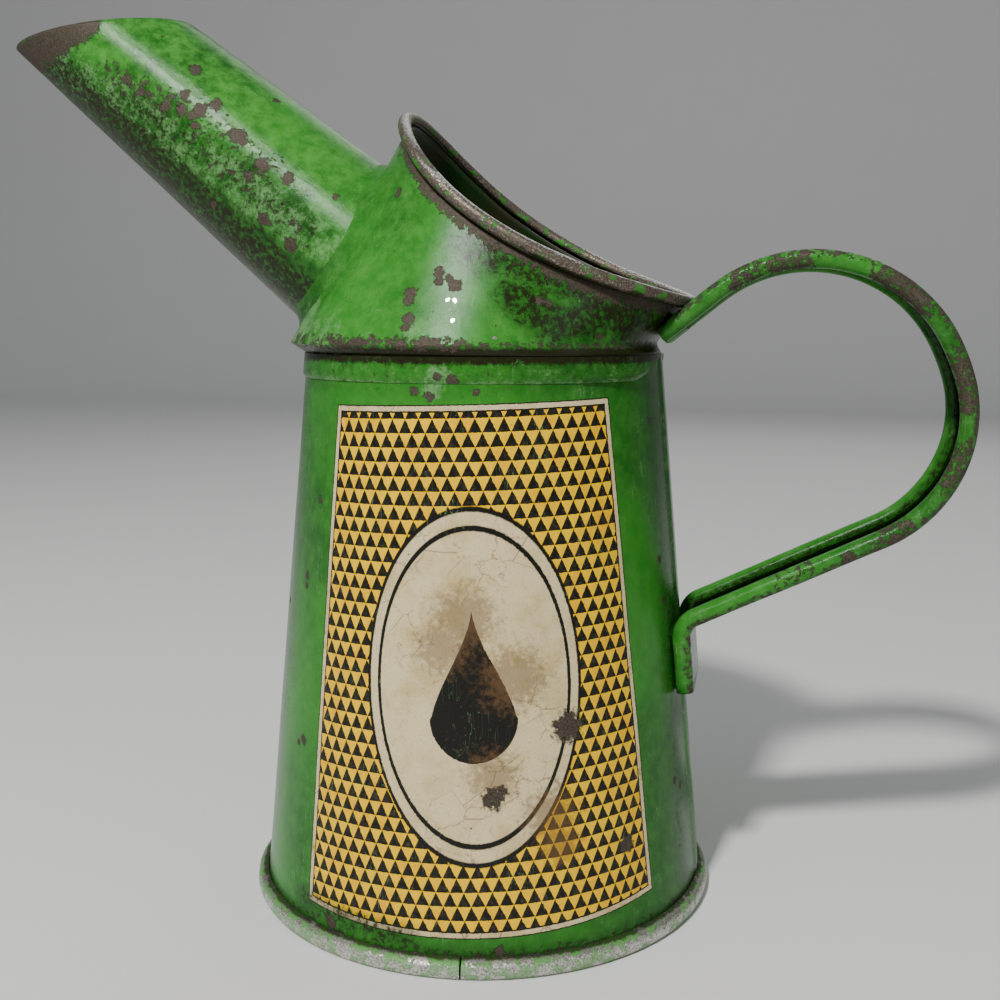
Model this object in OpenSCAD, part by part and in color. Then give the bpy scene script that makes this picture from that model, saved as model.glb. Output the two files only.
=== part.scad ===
// Oil pouring jug of green painted tinplate, about one pint.
// Origin: centre of the foot on the table. The spout points to -X, the handle to +X, +Z is up.

/* [Body] */
// Height of the body, from the table to the joint under the hood
body_h = 123; // [100:0.5:160]
// Outer radius of the body at the table
body_base_r = 51.3; // [46:0.1:60]
// Outer radius of the body at the joint
body_top_r = 39.8; // [36:0.1:44]
// Thickness of the tinplate
tin = 0.5; // [0.4:0.05:0.8]
// Width of the folded side seam at the table
seam_w = 7; // [5:0.5:9]
// How far the side seam stands proud of the body
seam_proud = 0.5; // [0.3:0.1:0.8]

/* [Foot] */
// How far the foot ring stands out past the body at the table
foot_out = 2.1; // [1.5:0.1:2.6]
// Radius of the half round foot ring
foot_bead_r = 2.4; // [2:0.1:3]
// Height of the flat bottom above the table
base_recess = 4; // [3:0.5:8]
// Width of the butt joint in the foot ring
foot_joint = 0.3; // [0.2:0.05:0.6]
// Where the butt joint lies round the foot, from the handle
foot_joint_at = 278; // [190:1:350]

/* [Collar] */
// Height of the strip that covers the joint
collar_h = 5.3; // [4:0.1:8]
// Half width of the strip's rounded ends at the handle
collar_end = 20; // [14:1:26]
// Extra thickness where the strip's end laps over
lap_step = 0.25; // [0.15:0.05:0.5]
// Where the lap starts, from the handle
lap_at = 48; // [40:1:80]

/* [Hood] */
// How far the hood's lower edge stands out past the body
hood_flare = 1.6; // [1:0.1:2.4]
// How far the hood's lower edge is shifted to the spout
hood_shift = 2.4; // [0.5:0.1:2.6]
// Height of the hood's lower edge above the joint
hood_lip_h = 2.1; // [1.5:0.1:4]
// Wall of the hood
hood_wall = 0.6; // [0.5:0.05:0.8]
// Length of the mouth along its slope
mouth_len = 74.4; // [66:0.2:78]
// Width of the mouth
mouth_w = 62; // [56:0.5:72]
// Slope of the mouth, lower at the handle
mouth_tilt = 30; // [26:0.5:34]
// How far the mouth turns up above its sides at the spout
spout_end_lift = 8.7; // [5:0.1:10]
// How far the mouth turns up above its sides at the handle
handle_end_lift = 5.1; // [3:0.1:7]
// Sideways lean of the mouth, higher to +Y
mouth_lean = 2.2; // [0:0.2:4]
// How far the mouth's handle end stands out past the body
mouth_overhang = 6.57; // [5:0.01:8]
// Height of the mouth's centre above the joint
mouth_rise = 25.3; // [24:0.1:32]
// Radius of the rolled bead round the mouth
bead_r = 1.5; // [1.4:0.05:1.8]
// Radius of the wire in the mouth bead
mouth_wire_r = 0.9; // [0.7:0.05:0.95]

/* [Spout] */
// Angle of the spout above the table
spout_angle = 38.7; // [34:0.5:42]
// Distance of the spout's root from the axis
spout_root_x = 35; // [33:0.5:38]
// Height of the spout's root above the joint
spout_root_rise = 26.1; // [25:0.1:28]
// Outer radius of the spout at its root
spout_root_r = 19.6; // [16:0.1:20]
// Outer radius of the spout at its lip
spout_tip_r = 15.6; // [10:0.1:17]
// Length of the spout from the root to the lip, along its axis
spout_len = 73; // [50:0.5:90]
// Wall of the spout
spout_wall = 0.6; // [0.5:0.05:0.8]
// Slope of the lip
lip_tilt = 7; // [0:0.5:12]

/* [Handle] */
// Distance between the handle's two rolled edges
handle_w = 20; // [16:0.5:24]
// Radius of the handle's rolled edges
edge_r = 2.05; // [1.95:0.05:2.3]
// Radius of the wires in the rolled edges
handle_wire_r = 1.45; // [1:0.05:1.5]
// Slope of the handle where it leaves the hood
handle_tilt = 38.5; // [34:0.5:44]
// Straight run of the handle before its top bend
handle_lead = 7.1; // [4:0.1:12]
// Radius of the handle's top bend
top_bend_r = 31.2; // [26:0.2:34]
// Turn of the top bend
top_bend_turn = 100.6; // [96:0.2:104]
// Radius of the handle's back
back_bend_r = 45; // [36:1:60]
// Turn of the handle's back
back_bend_turn = 10; // [6:0.5:14]
// Radius of the handle's lower bend
low_bend_r = 28; // [24:0.5:31]
// Turn of the lower bend
low_bend_turn = 81.6; // [78:0.2:84]
// Radius of the small bend onto the body
foot_bend_r = 5; // [4:0.5:8]
// Length of the handle's foot on the body
tab_len = 12; // [8:0.5:20]

/* [Solder] */
// Width of the solder round the spout's root
solder_w = 2.6; // [1.4:0.1:3.4]
// Length of the solder in the handle's upper end
top_solder_len = 5; // [3:0.5:8]

/* [Hidden] */
$fn = 96;
green = [0.16, 0.45, 0.14];
worn_green = [0.30, 0.52, 0.26];
bare_steel = [0.46, 0.40, 0.36];
bright_tin = [0.72, 0.71, 0.66];
solder_grey = [0.36, 0.37, 0.33];
overcut = 1;
roof_rise = 20;
seam_room = 0.2;
fit_room = 0.03;
// How much of the foot ring's circle is cut off flat under the jug
foot_flat = 0.5;
// Height of the bottom's flange above the table
flange_low = 0.5;
// The spout's cone starts this far before its root, and the hole in the hood further still
spout_start = -12;
bore_start = -18;

// The body is a cone, and this is its outer radius at a height
body_slope = (body_base_r - body_top_r) / body_h;
function body_r(z) = body_base_r - body_slope * z;

foot_bead_z = foot_bead_r - foot_flat;
foot_bead_x = body_base_r + foot_out - foot_bead_r;
foot_ring_top = foot_bead_z + foot_bead_r;
seam_turn = seam_w / body_base_r * 180 / PI;
collar_z = body_h - collar_h;
hood_z = body_h + hood_lip_h;
hood_r = body_top_r + hood_flare;
seat_r = body_top_r + tin;

// The mouth: an oval whose two ends turn up, leaned and sloped about its centre
mouth_x = body_top_r + mouth_overhang - mouth_len / 2 * cos(mouth_tilt)
          - handle_end_lift * sin(mouth_tilt);
around = 60;
wall_rows = 5;
bead_in = 190;
bead_out = 228;
wire_room = 0.1;
wire_sides = 8;
bend_step = 8;
function end_lift(t) = (spout_end_lift * (1 - t) + handle_end_lift * (1 + t)) / 2;
function mouth_flat(a) = [mouth_len / 2 * cos(a), mouth_w / 2 * sin(a), end_lift(cos(a)) * cos(a) ^ 2];
function leaned(p) = [p.x, p.y * cos(mouth_lean) - p.z * sin(mouth_lean),
                      p.y * sin(mouth_lean) + p.z * cos(mouth_lean)];
function sloped(p) = [p.x * cos(mouth_tilt) + p.z * sin(mouth_tilt), p.y,
                      p.z * cos(mouth_tilt) - p.x * sin(mouth_tilt)];
function mouth_point(a) = [mouth_x, 0, body_h + mouth_rise] + sloped(leaned(mouth_flat(a)));
function hood_foot(a, r) = [r * cos(a) - hood_shift, r * sin(a), hood_z];
function unit(v) = v / norm(v);
function mouth_along(a) = unit(mouth_point(a + 1) - mouth_point(a - 1));
function mouth_out(a) = unit(cross(mouth_along(a), mouth_point(a) - hood_foot(a, hood_r)));
function bead_point(a, r, turn) =
    mouth_point(a) + r * (cos(turn) * mouth_out(a) + sin(turn) * cross(mouth_out(a), mouth_along(a)));
function between(p, q, t) = p + (q - p) * t;

// Where the handle touches the bead from below, and its path from there as [length or radius, turn]
touch_turn = asin(handle_w / mouth_w);
touch_gap = bead_r + edge_r;
handle_touch = mouth_point(-touch_turn) + touch_gap * [sin(handle_tilt), 0, -cos(handle_tilt)];
body_lean = atan(body_slope);
low_dir = handle_tilt - top_bend_turn - back_bend_turn - low_bend_turn;
foot_turn = -90 + body_lean - low_dir;
tuck = 7.5;
start_pose = [handle_touch.x - tuck * cos(handle_tilt), handle_touch.z - tuck * sin(handle_tilt),
              handle_tilt];
// A pose is [x, z, direction]; a turn above 0 is clockwise
function after_line(p, len) = [p[0] + len * cos(p[2]), p[1] + len * sin(p[2]), p[2]];
function after_bend(p, r, turn) =
    let (s = sign(turn), d = p[2] - turn)
    [p[0] + s * r * (sin(p[2]) - sin(d)), p[1] - s * r * (cos(p[2]) - cos(d)), d];
lead_len = tuck + handle_lead;
pose_1 = after_line(start_pose, lead_len);
pose_2 = after_bend(pose_1, top_bend_r, top_bend_turn);
pose_3 = after_bend(pose_2, back_bend_r, back_bend_turn);
pose_4 = after_bend(pose_3, low_bend_r, low_bend_turn);
// The rolled edges lie on the cone, so the foot's line runs this far out at the table
tab_x = sqrt((body_r(0) + edge_r / cos(body_lean)) ^ 2 - (handle_w / 2) ^ 2);
// Length of the lower run until it meets the foot's line, less the small bend
run_x = tan(body_lean);
run_meet = (pose_4[0] - tab_x + run_x * pose_4[1]) / (-cos(low_dir) - run_x * sin(low_dir));
run_len = run_meet - foot_bend_r * tan(foot_turn / 2);
pose_5 = after_line(pose_4, run_len);
pose_6 = after_bend(pose_5, foot_bend_r, -foot_turn);

// A skin over a row of sections, each a closed loop of points that runs clockwise seen against
// the row's direction. A ring joins its last section to its first, and a run gets two end faces.
function skin_faces(n, m, ring) =
    [for (i = [0 : ring ? n - 1 : n - 2], j = [0 : m - 1], half = [0, 1])
        let (a = i * m, b = (i + 1) % n * m, k = (j + 1) % m)
        half == 0 ? [a + j, b + k, b + j] : [a + j, a + k, b + k]];
function end_faces(first, m, flip) =
    [for (j = [0 : m / 2 - 2], half = [0, 1])
        let (p = first + j, q = first + m - 1 - j)
        half == 0 ? (flip ? [p, q, q - 1] : [p, q - 1, q]) : (flip ? [p, q - 1, p + 1] : [p, p + 1, q - 1])];
module loft(loops, ring = false) {
    n = len(loops);
    m = len(loops[0]);
    ends = ring ? [] : concat(end_faces(0, m, true), end_faces((n - 1) * m, m, false));
    polyhedron(points = [for (loop = loops) each loop],
               faces = concat(skin_faces(n, m, ring), ends), convexity = 8);
}

// The outer face of the hood from its seat to its bead, as one column of points at an angle
function outer_column(a, grow) = concat(
    [[(seat_r + grow) * cos(a), (seat_r + grow) * sin(a), body_h]],
    [for (i = [0 : wall_rows]) between(hood_foot(a, hood_r + grow),
        bead_point(a, bead_r, bead_out) + grow * mouth_out(a), i / wall_rows)]);
function inner_column(a) = concat(
    [for (i = [wall_rows : -1 : 0]) between(hood_foot(a, hood_r - hood_wall),
        bead_point(a, bead_r, bead_in), i / wall_rows)],
    [[(body_top_r - tin) * cos(a), (body_top_r - tin) * sin(a), body_h]]);

// Points round the outside of the bead, with a hair of room
bead_room = 0.06;
function bead_column(a) = [for (turn = [-105 : 30 : 105]) bead_point(a, bead_r + bead_room, turn)];

// The hood and its bead as a full block with a low roof, used to trim what stands on it. A grown
// block is thicker in its wall only and has no bead.
module hood_block(grow = 0) {
    columns = [for (i = [0 : around - 1]) let (a = i * 360 / around)
        concat(outer_column(a, grow), grow > 0 ? [] : bead_column(a))];
    m = len(columns[0]);
    below = around * m;
    above = below + 1;
    faces = [for (i = [0 : around - 1]) let (a = i * m, b = (i + 1) % around * m)
        each concat([[a, b, below], [a + m - 1, above, b + m - 1]],
            [for (j = [0 : m - 2]) each [[a + j, b + j + 1, b + j], [a + j, a + j + 1, b + j + 1]]])];
    polyhedron(points = concat([for (column = columns) each column],
                               [[0, 0, body_h], [mouth_x, 0, body_h + mouth_rise + roof_rise]]),
               faces = faces, convexity = 8);
}

module spout_cone(r_less = 0, from = spout_start) {
    taper = (spout_root_r - spout_tip_r) / spout_len;
    past_lip = spout_len + 2 * spout_tip_r;
    translate([-spout_root_x, 0, body_h + spout_root_rise])
        rotate([0, spout_angle - 90, 0])
            translate([0, 0, from])
                cylinder(r1 = spout_root_r - r_less - taper * from,
                         r2 = spout_root_r - r_less - taper * past_lip, h = past_lip - from);
}

module lip_cutter() {
    block = 120;
    tip_x = -spout_root_x - spout_len * cos(spout_angle);
    tip_z = body_h + spout_root_rise + spout_len * sin(spout_angle);
    translate([tip_x, 0, tip_z])
        rotate([0, -lip_tilt, 0])
            translate([-block / 2, -block / 2, 0])
                cube(block);
}

module body_block() {
    cylinder(r1 = body_base_r, r2 = body_top_r, h = body_h);
    seam_band(tin);
}

// The folded seam: a band on the cone, centred under the handle
module seam_band(inside) {
    low = foot_ring_top + seam_room;
    high = collar_z - seam_room;
    rotate([0, 0, -seam_turn / 2])
        rotate_extrude(angle = seam_turn)
            polygon([[body_r(low) - inside, low], [body_r(low) + seam_proud, low],
                     [body_r(high) + seam_proud, high], [body_r(high) - inside, high]]);
}

module body_shell() {
    color(green)
        union() {
            rotate_extrude()
                polygon([[body_base_r - tin, 0], [body_base_r, 0], [body_top_r, body_h],
                         [body_top_r - tin, body_h]]);
            seam_band(tin / 2);
        }
}

// Recessed bottom with a flange turned down inside the body
module base_disc() {
    low = flange_low;
    high = base_recess + tin;
    color(bright_tin)
        rotate_extrude()
            polygon([[0, base_recess], [body_r(base_recess) - 2 * tin, base_recess],
                     [body_r(low) - 2 * tin, low], [body_r(low) - tin, low],
                     [body_r(high) - tin, high], [0, high]]);
}

// Half round ring round the body's lower edge, with its butt joint
module foot_ring() {
    color(bright_tin)
        difference() {
            rotate_extrude()
                difference() {
                    translate([foot_bead_x, foot_bead_z])
                        circle(r = foot_bead_r);
                    translate([0, -2 * foot_bead_r])
                        square([2 * body_base_r, 2 * foot_bead_r]);
                    polygon([[0, -overcut], [body_r(-overcut), -overcut],
                             [body_r(foot_ring_top + overcut), foot_ring_top + overcut],
                             [0, foot_ring_top + overcut]]);
                }
            rotate([0, 0, foot_joint_at])
                translate([body_top_r, -foot_joint / 2, -overcut])
                    cube([body_base_r, foot_joint, foot_ring_top + 2 * overcut]);
        }
}

// Strip over the joint, with one end lapped over and both ends cut in a curve at the handle
module collar_strip() {
    steps = 24;
    sliver = 0.01;
    curve = [for (i = [0 : steps]) let (y = collar_end * (2 * i / steps - 1))
        [y, collar_z + collar_h * (1 + cos(180 * y / collar_end)) / 2 + sliver]];
    color(worn_green)
        difference() {
            union() {
                collar_band(0, 360, fit_room, tin);
                collar_band(-lap_at, lap_at, tin / 2, tin + lap_step);
            }
            rotate([90, 0, 90])
                linear_extrude(height = 2 * body_base_r)
                    polygon(concat([[-collar_end, collar_z - overcut]], curve,
                                   [[collar_end, collar_z - overcut]]));
        }
}

module collar_band(from, turn, inside, thick) {
    rotate([0, 0, from])
        rotate_extrude(angle = turn)
            polygon([[body_r(collar_z) + inside, collar_z], [body_r(collar_z) + thick, collar_z],
                     [body_top_r + thick, body_h], [body_top_r + inside, body_h]]);
}

// Sheet that rises from the round joint to the sloped mouth, open to the spout
module hood() {
    color(green)
        difference() {
            loft([for (i = [0 : around - 1]) let (a = i * 360 / around)
                concat(outer_column(a, 0), inner_column(a))], ring = true);
            spout_cone(r_less = spout_wall, from = bore_start);
        }
}

// A closed ring that follows the mouth, its section given as [radius, turn] corners
module mouth_ring(corners) {
    loft([for (i = [0 : around - 1]) let (a = -i * 360 / around)
        [for (c = corners) bead_point(a, c[0], c[1])]], ring = true);
}

// The mouth's rolled edge, curled outward over the wire from the hood's top edge
module mouth_bead() {
    seam_gap = 15;
    curl = 360 - seam_gap - (bead_out - bead_in);
    outer_steps = 10;
    inner_steps = 7;
    inner_r = mouth_wire_r + wire_room;
    color(bare_steel)
        mouth_ring(concat([[bead_r, bead_out]],
                          [for (i = [0 : outer_steps]) [bead_r, bead_in - curl * i / outer_steps]],
                          [for (i = [inner_steps : -1 : 0]) [inner_r, bead_in - curl * i / inner_steps]],
                          [[inner_r, bead_out]]));
}

module mouth_wire() {
    color(bright_tin)
        mouth_ring([for (i = [0 : wire_sides - 1]) [mouth_wire_r, -i * 360 / wire_sides]]);
}

// Tapered tube, cut level at the lip and shaped to the hood at its root
module spout() {
    color(green)
        difference() {
            spout_cone();
            spout_cone(r_less = spout_wall, from = spout_start - overcut);
            lip_cutter();
            hood_block();
        }
}

// Solder run in the corner between spout and hood
module spout_solder() {
    color(solder_grey)
        difference() {
            intersection() {
                spout_cone(r_less = -solder_w);
                hood_block(grow = solder_w);
            }
            spout_cone(from = spout_start - overcut);
            hood_block();
        }
}

// The handle's path as a row of poses, with a pose every few degrees round each bend
function bend_poses(p, r, turn) =
    let (steps = ceil(abs(turn) / bend_step))
    [for (i = [1 : steps]) after_bend(p, r, turn * i / steps)];
handle_path = concat([start_pose, pose_1],
                     bend_poses(pose_1, top_bend_r, top_bend_turn),
                     bend_poses(pose_2, back_bend_r, back_bend_turn),
                     bend_poses(pose_3, low_bend_r, low_bend_turn),
                     [pose_5], bend_poses(pose_5, foot_bend_r, -foot_turn),
                     [after_line(pose_6, tab_len)]);

// A point of a flat section placed on the path: u is out of the loop, v is across
function placed(p, uv) = [p[0] - uv[0] * sin(p[2]), uv[1], p[1] + uv[0] * cos(p[2])];
module along(path, section) {
    loft([for (p = path) [for (uv = section) placed(p, uv)]]);
}

// Section of the handle: a web on the outer side with both edges curled in over their wires
function arc(r, from, to, steps, side) =
    [for (i = [0 : steps]) let (a = from + (to - from) * i / steps)
        [r * cos(a), side * (handle_w / 2 + r * sin(a))]];
curl_angle = 290;
inner_edge_r = handle_wire_r + wire_room;
curl_steps = 8;
strip_section = concat(arc(edge_r, curl_angle, 0, curl_steps, -1), arc(edge_r, 0, curl_angle, curl_steps, 1),
                       arc(inner_edge_r, curl_angle, 0, curl_steps, 1),
                       arc(inner_edge_r, 0, curl_angle, curl_steps, -1));
function wire_section(side) =
    [for (i = [0 : wire_sides - 1]) let (a = (i + 0.5) * 360 / wire_sides)
        [handle_wire_r * cos(a), side * handle_w / 2 + handle_wire_r * sin(a)]];

module handle_strip() {
    color(worn_green)
        difference() {
            along(handle_path, strip_section);
            hood_block();
            body_block();
        }
}

module handle_wires() {
    color(bright_tin)
        difference() {
            for (side = [-1, 1])
                along(handle_path, wire_section(side));
            hood_block();
        }
}

// Solder in the channel between the rolled edges
module channel_fill(path) {
    edge = handle_w / 2 - edge_r;
    along(path, [[-edge_r, -edge], [inner_edge_r, -edge], [inner_edge_r, edge], [-edge_r, edge]]);
}

module handle_top_solder() {
    color(solder_grey)
        difference() {
            channel_fill([start_pose, after_line(start_pose, top_solder_len)]);
            hood_block();
        }
}

module handle_foot_solder() {
    color(solder_grey)
        difference() {
            channel_fill([pose_6, after_line(pose_6, tab_len)]);
            body_block();
        }
}

body_shell();
base_disc();
foot_ring();
collar_strip();
hood();
mouth_bead();
mouth_wire();
spout();
spout_solder();
handle_strip();
handle_wires();
handle_top_solder();
handle_foot_solder();
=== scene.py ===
"""Looks of the oil pouring jug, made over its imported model.

Lengths are in millimetres until a point goes into a mesh, where they become metres. The foot
stands on z = 0, the spout points to -X and the handle to +X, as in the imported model.
"""

import logging
import math
from dataclasses import dataclass
from enum import Enum
from functools import cache
from typing import Callable, Optional, Union

import bmesh
import bpy
from mathutils import Matrix, Vector, noise
from mathutils.bvhtree import BVHTree


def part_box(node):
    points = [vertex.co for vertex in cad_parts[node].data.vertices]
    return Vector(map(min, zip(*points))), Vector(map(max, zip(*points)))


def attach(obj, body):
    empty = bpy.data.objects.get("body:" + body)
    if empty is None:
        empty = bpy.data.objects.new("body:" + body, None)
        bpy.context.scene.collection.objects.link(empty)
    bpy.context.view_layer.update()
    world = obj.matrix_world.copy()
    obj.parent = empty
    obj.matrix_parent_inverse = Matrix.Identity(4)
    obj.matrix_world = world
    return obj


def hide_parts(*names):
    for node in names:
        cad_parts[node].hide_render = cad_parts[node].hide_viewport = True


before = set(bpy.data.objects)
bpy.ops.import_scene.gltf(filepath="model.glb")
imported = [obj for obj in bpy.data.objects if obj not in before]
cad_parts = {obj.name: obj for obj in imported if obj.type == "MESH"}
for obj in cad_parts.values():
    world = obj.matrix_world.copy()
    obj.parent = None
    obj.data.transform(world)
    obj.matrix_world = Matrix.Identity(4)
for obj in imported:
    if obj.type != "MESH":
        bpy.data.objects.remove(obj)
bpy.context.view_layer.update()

LOG = logging.getLogger("jug")
MM = 0.001
BODY = "root"
MERGE = 1e-7

Socket = bpy.types.NodeSocket
Value = Union[float, Socket]
Colour = tuple[float, float, float]
Point = tuple[float, float, float]
Rule = Callable[[float, float], Vector]
WearRule = Callable[[Vector], float]


class Layer(Enum):
    """Kinds of wear, with painted light and shade, that a mesh carries as an attribute for its finish."""

    # Scuffs, and on the hood and spout also painted highlight streaks.
    SCUFF_AND_HIGHLIGHT = "scuff_and_highlight"
    LOSS = "loss"
    # Soiling, and painted shade on undersides, edges and under overlaps.
    GRIME_AND_SHADE = "grime_and_shade"


def fade(value: float, low: float, high: float) -> float:
    """Return 0 at low, 1 at high and a smooth change between."""
    share = min(max((value - low) / (high - low), 0.0), 1.0)
    return share * share * (3.0 - 2.0 * share)


@cache
def box_mm(node: str) -> tuple[Vector, Vector]:
    """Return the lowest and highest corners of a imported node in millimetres."""
    low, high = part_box(node)
    return Vector(low) / MM, Vector(high) / MM


@dataclass(frozen=True)
class Spot:
    """Round place on the jug that carries a mark.

    Attributes:
        centre: its middle in millimetres.
        reach: its radius in millimetres.
        strength: how strong the mark is at the middle.
    """

    centre: Point
    reach: float
    strength: float = 1.0

    def pull(self, point: Vector) -> float:
        """Return the mark's strength at a point in millimetres."""
        away = (point - Vector(self.centre)).length
        return self.strength * (1.0 - fade(away, 0.35 * self.reach, self.reach))


@dataclass(frozen=True)
class Trail:
    """Worn streak along a row of places.

    Attributes:
        places: points of its middle line in millimetres.
        reach: half its width in millimetres.
        strength: how strong the mark is at the middle.
    """

    places: tuple[Point, ...]
    reach: float
    strength: float = 1.0

    def pull(self, point: Vector) -> float:
        """Return the mark's strength at a point in millimetres."""
        away = math.inf
        for start, end in zip(self.places, self.places[1:]):
            line = Vector(end) - Vector(start)
            share = (point - Vector(start)).dot(line) / line.length_squared
            foot = Vector(start) + line * min(max(share, 0.0), 1.0)
            away = min(away, (point - foot).length)
        return self.strength * (1.0 - fade(away, 0.15 * self.reach, self.reach))


def strongest(marks: tuple[Union[Spot, Trail], ...], point: Vector) -> float:
    """Return the strongest of several marks at a point."""
    return max((mark.pull(point) for mark in marks), default=0.0)


# Mesh helpers


def grown(rule: Rule, across: int, along: int) -> bmesh.types.BMesh:
    """Make a grid whose points are placed by a rule.

    Args:
        rule: gives a point in millimetres from two shares between 0 and 1.
        across: number of faces in the rule's first direction.
        along: number of faces in its second direction.

    Returns:
        The mesh in metres, with the points that meet merged.
    """
    bm = bmesh.new()
    bmesh.ops.create_grid(bm, x_segments=across, y_segments=along, size=0.5)
    for vert in bm.verts:
        vert.co = rule(vert.co.x + 0.5, vert.co.y + 0.5) * MM
    bmesh.ops.remove_doubles(bm, verts=bm.verts, dist=MERGE)
    bmesh.ops.dissolve_degenerate(bm, edges=bm.edges, dist=MERGE)
    return bm


def face_out(bm: bmesh.types.BMesh, middle: Callable[[Vector], Vector]) -> None:
    """Turn an open skin so that its faces point away from its middle line.

    Args:
        bm: the mesh in metres.
        middle: gives the point of the middle line in millimetres for a face's centre.
    """
    bmesh.ops.recalc_face_normals(bm, faces=bm.faces)
    bm.normal_update()
    outward = 0.0
    for face in bm.faces:
        centre = face.calc_center_median() / MM
        outward += face.normal.dot(centre - middle(centre)) * face.calc_area()
    if outward < 0:
        bmesh.ops.reverse_faces(bm, faces=bm.faces)
    bm.normal_update()


def dent(bm: bmesh.types.BMesh, size: float, depth: float, seed: float) -> None:
    """Push a skin in by smooth noise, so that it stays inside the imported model.

    Args:
        bm: the mesh in metres.
        size: width of a dent in millimetres.
        depth: furthest move in millimetres.
        seed: shifts the noise, so that pieces differ.
    """
    bm.normal_update()
    shift = Vector((seed, 2.0 * seed, 3.0 * seed))
    for vert in bm.verts:
        height = noise.noise(vert.co / (size * MM) + shift)
        vert.co -= vert.normal * (depth * MM * (1.0 + height) / 2.0)
        vert.co.z = max(vert.co.z, 0.0)


def axis_point(point: Vector) -> Vector:
    """Return the point of the jug's upright axis at a point's height."""
    return Vector((0.0, 0.0, point.z))


class Piece:
    """A visible piece of the jug under construction."""

    def __init__(self, bm: bmesh.types.BMesh, name: str, slot: str) -> None:
        """Turn a finished mesh into an object that rides on the jug.

        Args:
            bm: the mesh in metres, freed here.
            name: the piece's name.
            slot: the record's material slot that the piece stands for; not used.
        """
        mesh = bpy.data.meshes.new(name)
        bm.to_mesh(mesh)
        bm.free()
        mesh.shade_smooth()
        self.object = bpy.data.objects.new(name, mesh)
        bpy.context.scene.collection.objects.link(self.object)
        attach(self.object, BODY)

    def stands_for(self, *nodes: str) -> "Piece":
        """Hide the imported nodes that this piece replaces."""
        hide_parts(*nodes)
        return self

    def dressed(self, *finishes: bpy.types.Material) -> "Piece":
        """Give the piece its outer finish and, where there is a second, its inner one."""
        for finish in finishes:
            self.object.data.materials.append(finish)
        return self

    def walled(self, thickness: float) -> "Piece":
        """Give the skin a wall that grows inward, with the last finish inside.

        Args:
            thickness: the wall in millimetres.

        Returns:
            The piece itself.
        """
        wall = self.object.modifiers.new("wall", "SOLIDIFY")
        wall.thickness = thickness * MM
        wall.offset = -1.0
        wall.material_offset = len(self.object.data.materials) - 1
        return self

    def creased(self, angle: float = 35.0) -> "Piece":
        """Keep edges that turn by more than an angle in degrees sharp to the light."""
        self.object.data.set_sharp_from_angle(angle=math.radians(angle))
        return self

    def settled(self) -> "Piece":
        """Turn the piece's modifiers into mesh."""
        depsgraph = bpy.context.evaluated_depsgraph_get()
        shaped = self.object.evaluated_get(depsgraph)
        mesh = bpy.data.meshes.new_from_object(shaped)
        self.object.modifiers.clear()
        self.object.data = mesh
        return self

    def bored(self, cutter: bmesh.types.BMesh) -> "Piece":
        """Take a closed shape out of the piece.

        Args:
            cutter: the closed shape in metres, freed here.

        Returns:
            The piece itself.
        """
        mesh = bpy.data.meshes.new("cutter")
        cutter.to_mesh(mesh)
        cutter.free()
        block = bpy.data.objects.new("cutter", mesh)
        bpy.context.scene.collection.objects.link(block)
        hole = self.object.modifiers.new("hole", "BOOLEAN")
        hole.operation = "DIFFERENCE"
        hole.solver = "EXACT"
        hole.object = block
        self.settled()
        bpy.data.objects.remove(block)
        bpy.data.meshes.remove(mesh)
        return self

    def worn(self, rules: dict[Layer, WearRule]) -> "Piece":
        """Store how worn each point is, for the finish to read.

        Args:
            rules: gives each kind of wear its strength at a point in millimetres.

        Returns:
            The piece itself.
        """
        mesh = self.object.data
        for layer, rule in rules.items():
            values = mesh.attributes.new(layer.value, "FLOAT", "POINT").data
            for vert, value in zip(mesh.vertices, values):
                value.value = min(max(rule(vert.co / MM), 0.0), 1.0)
        return self


# Finishes


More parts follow.
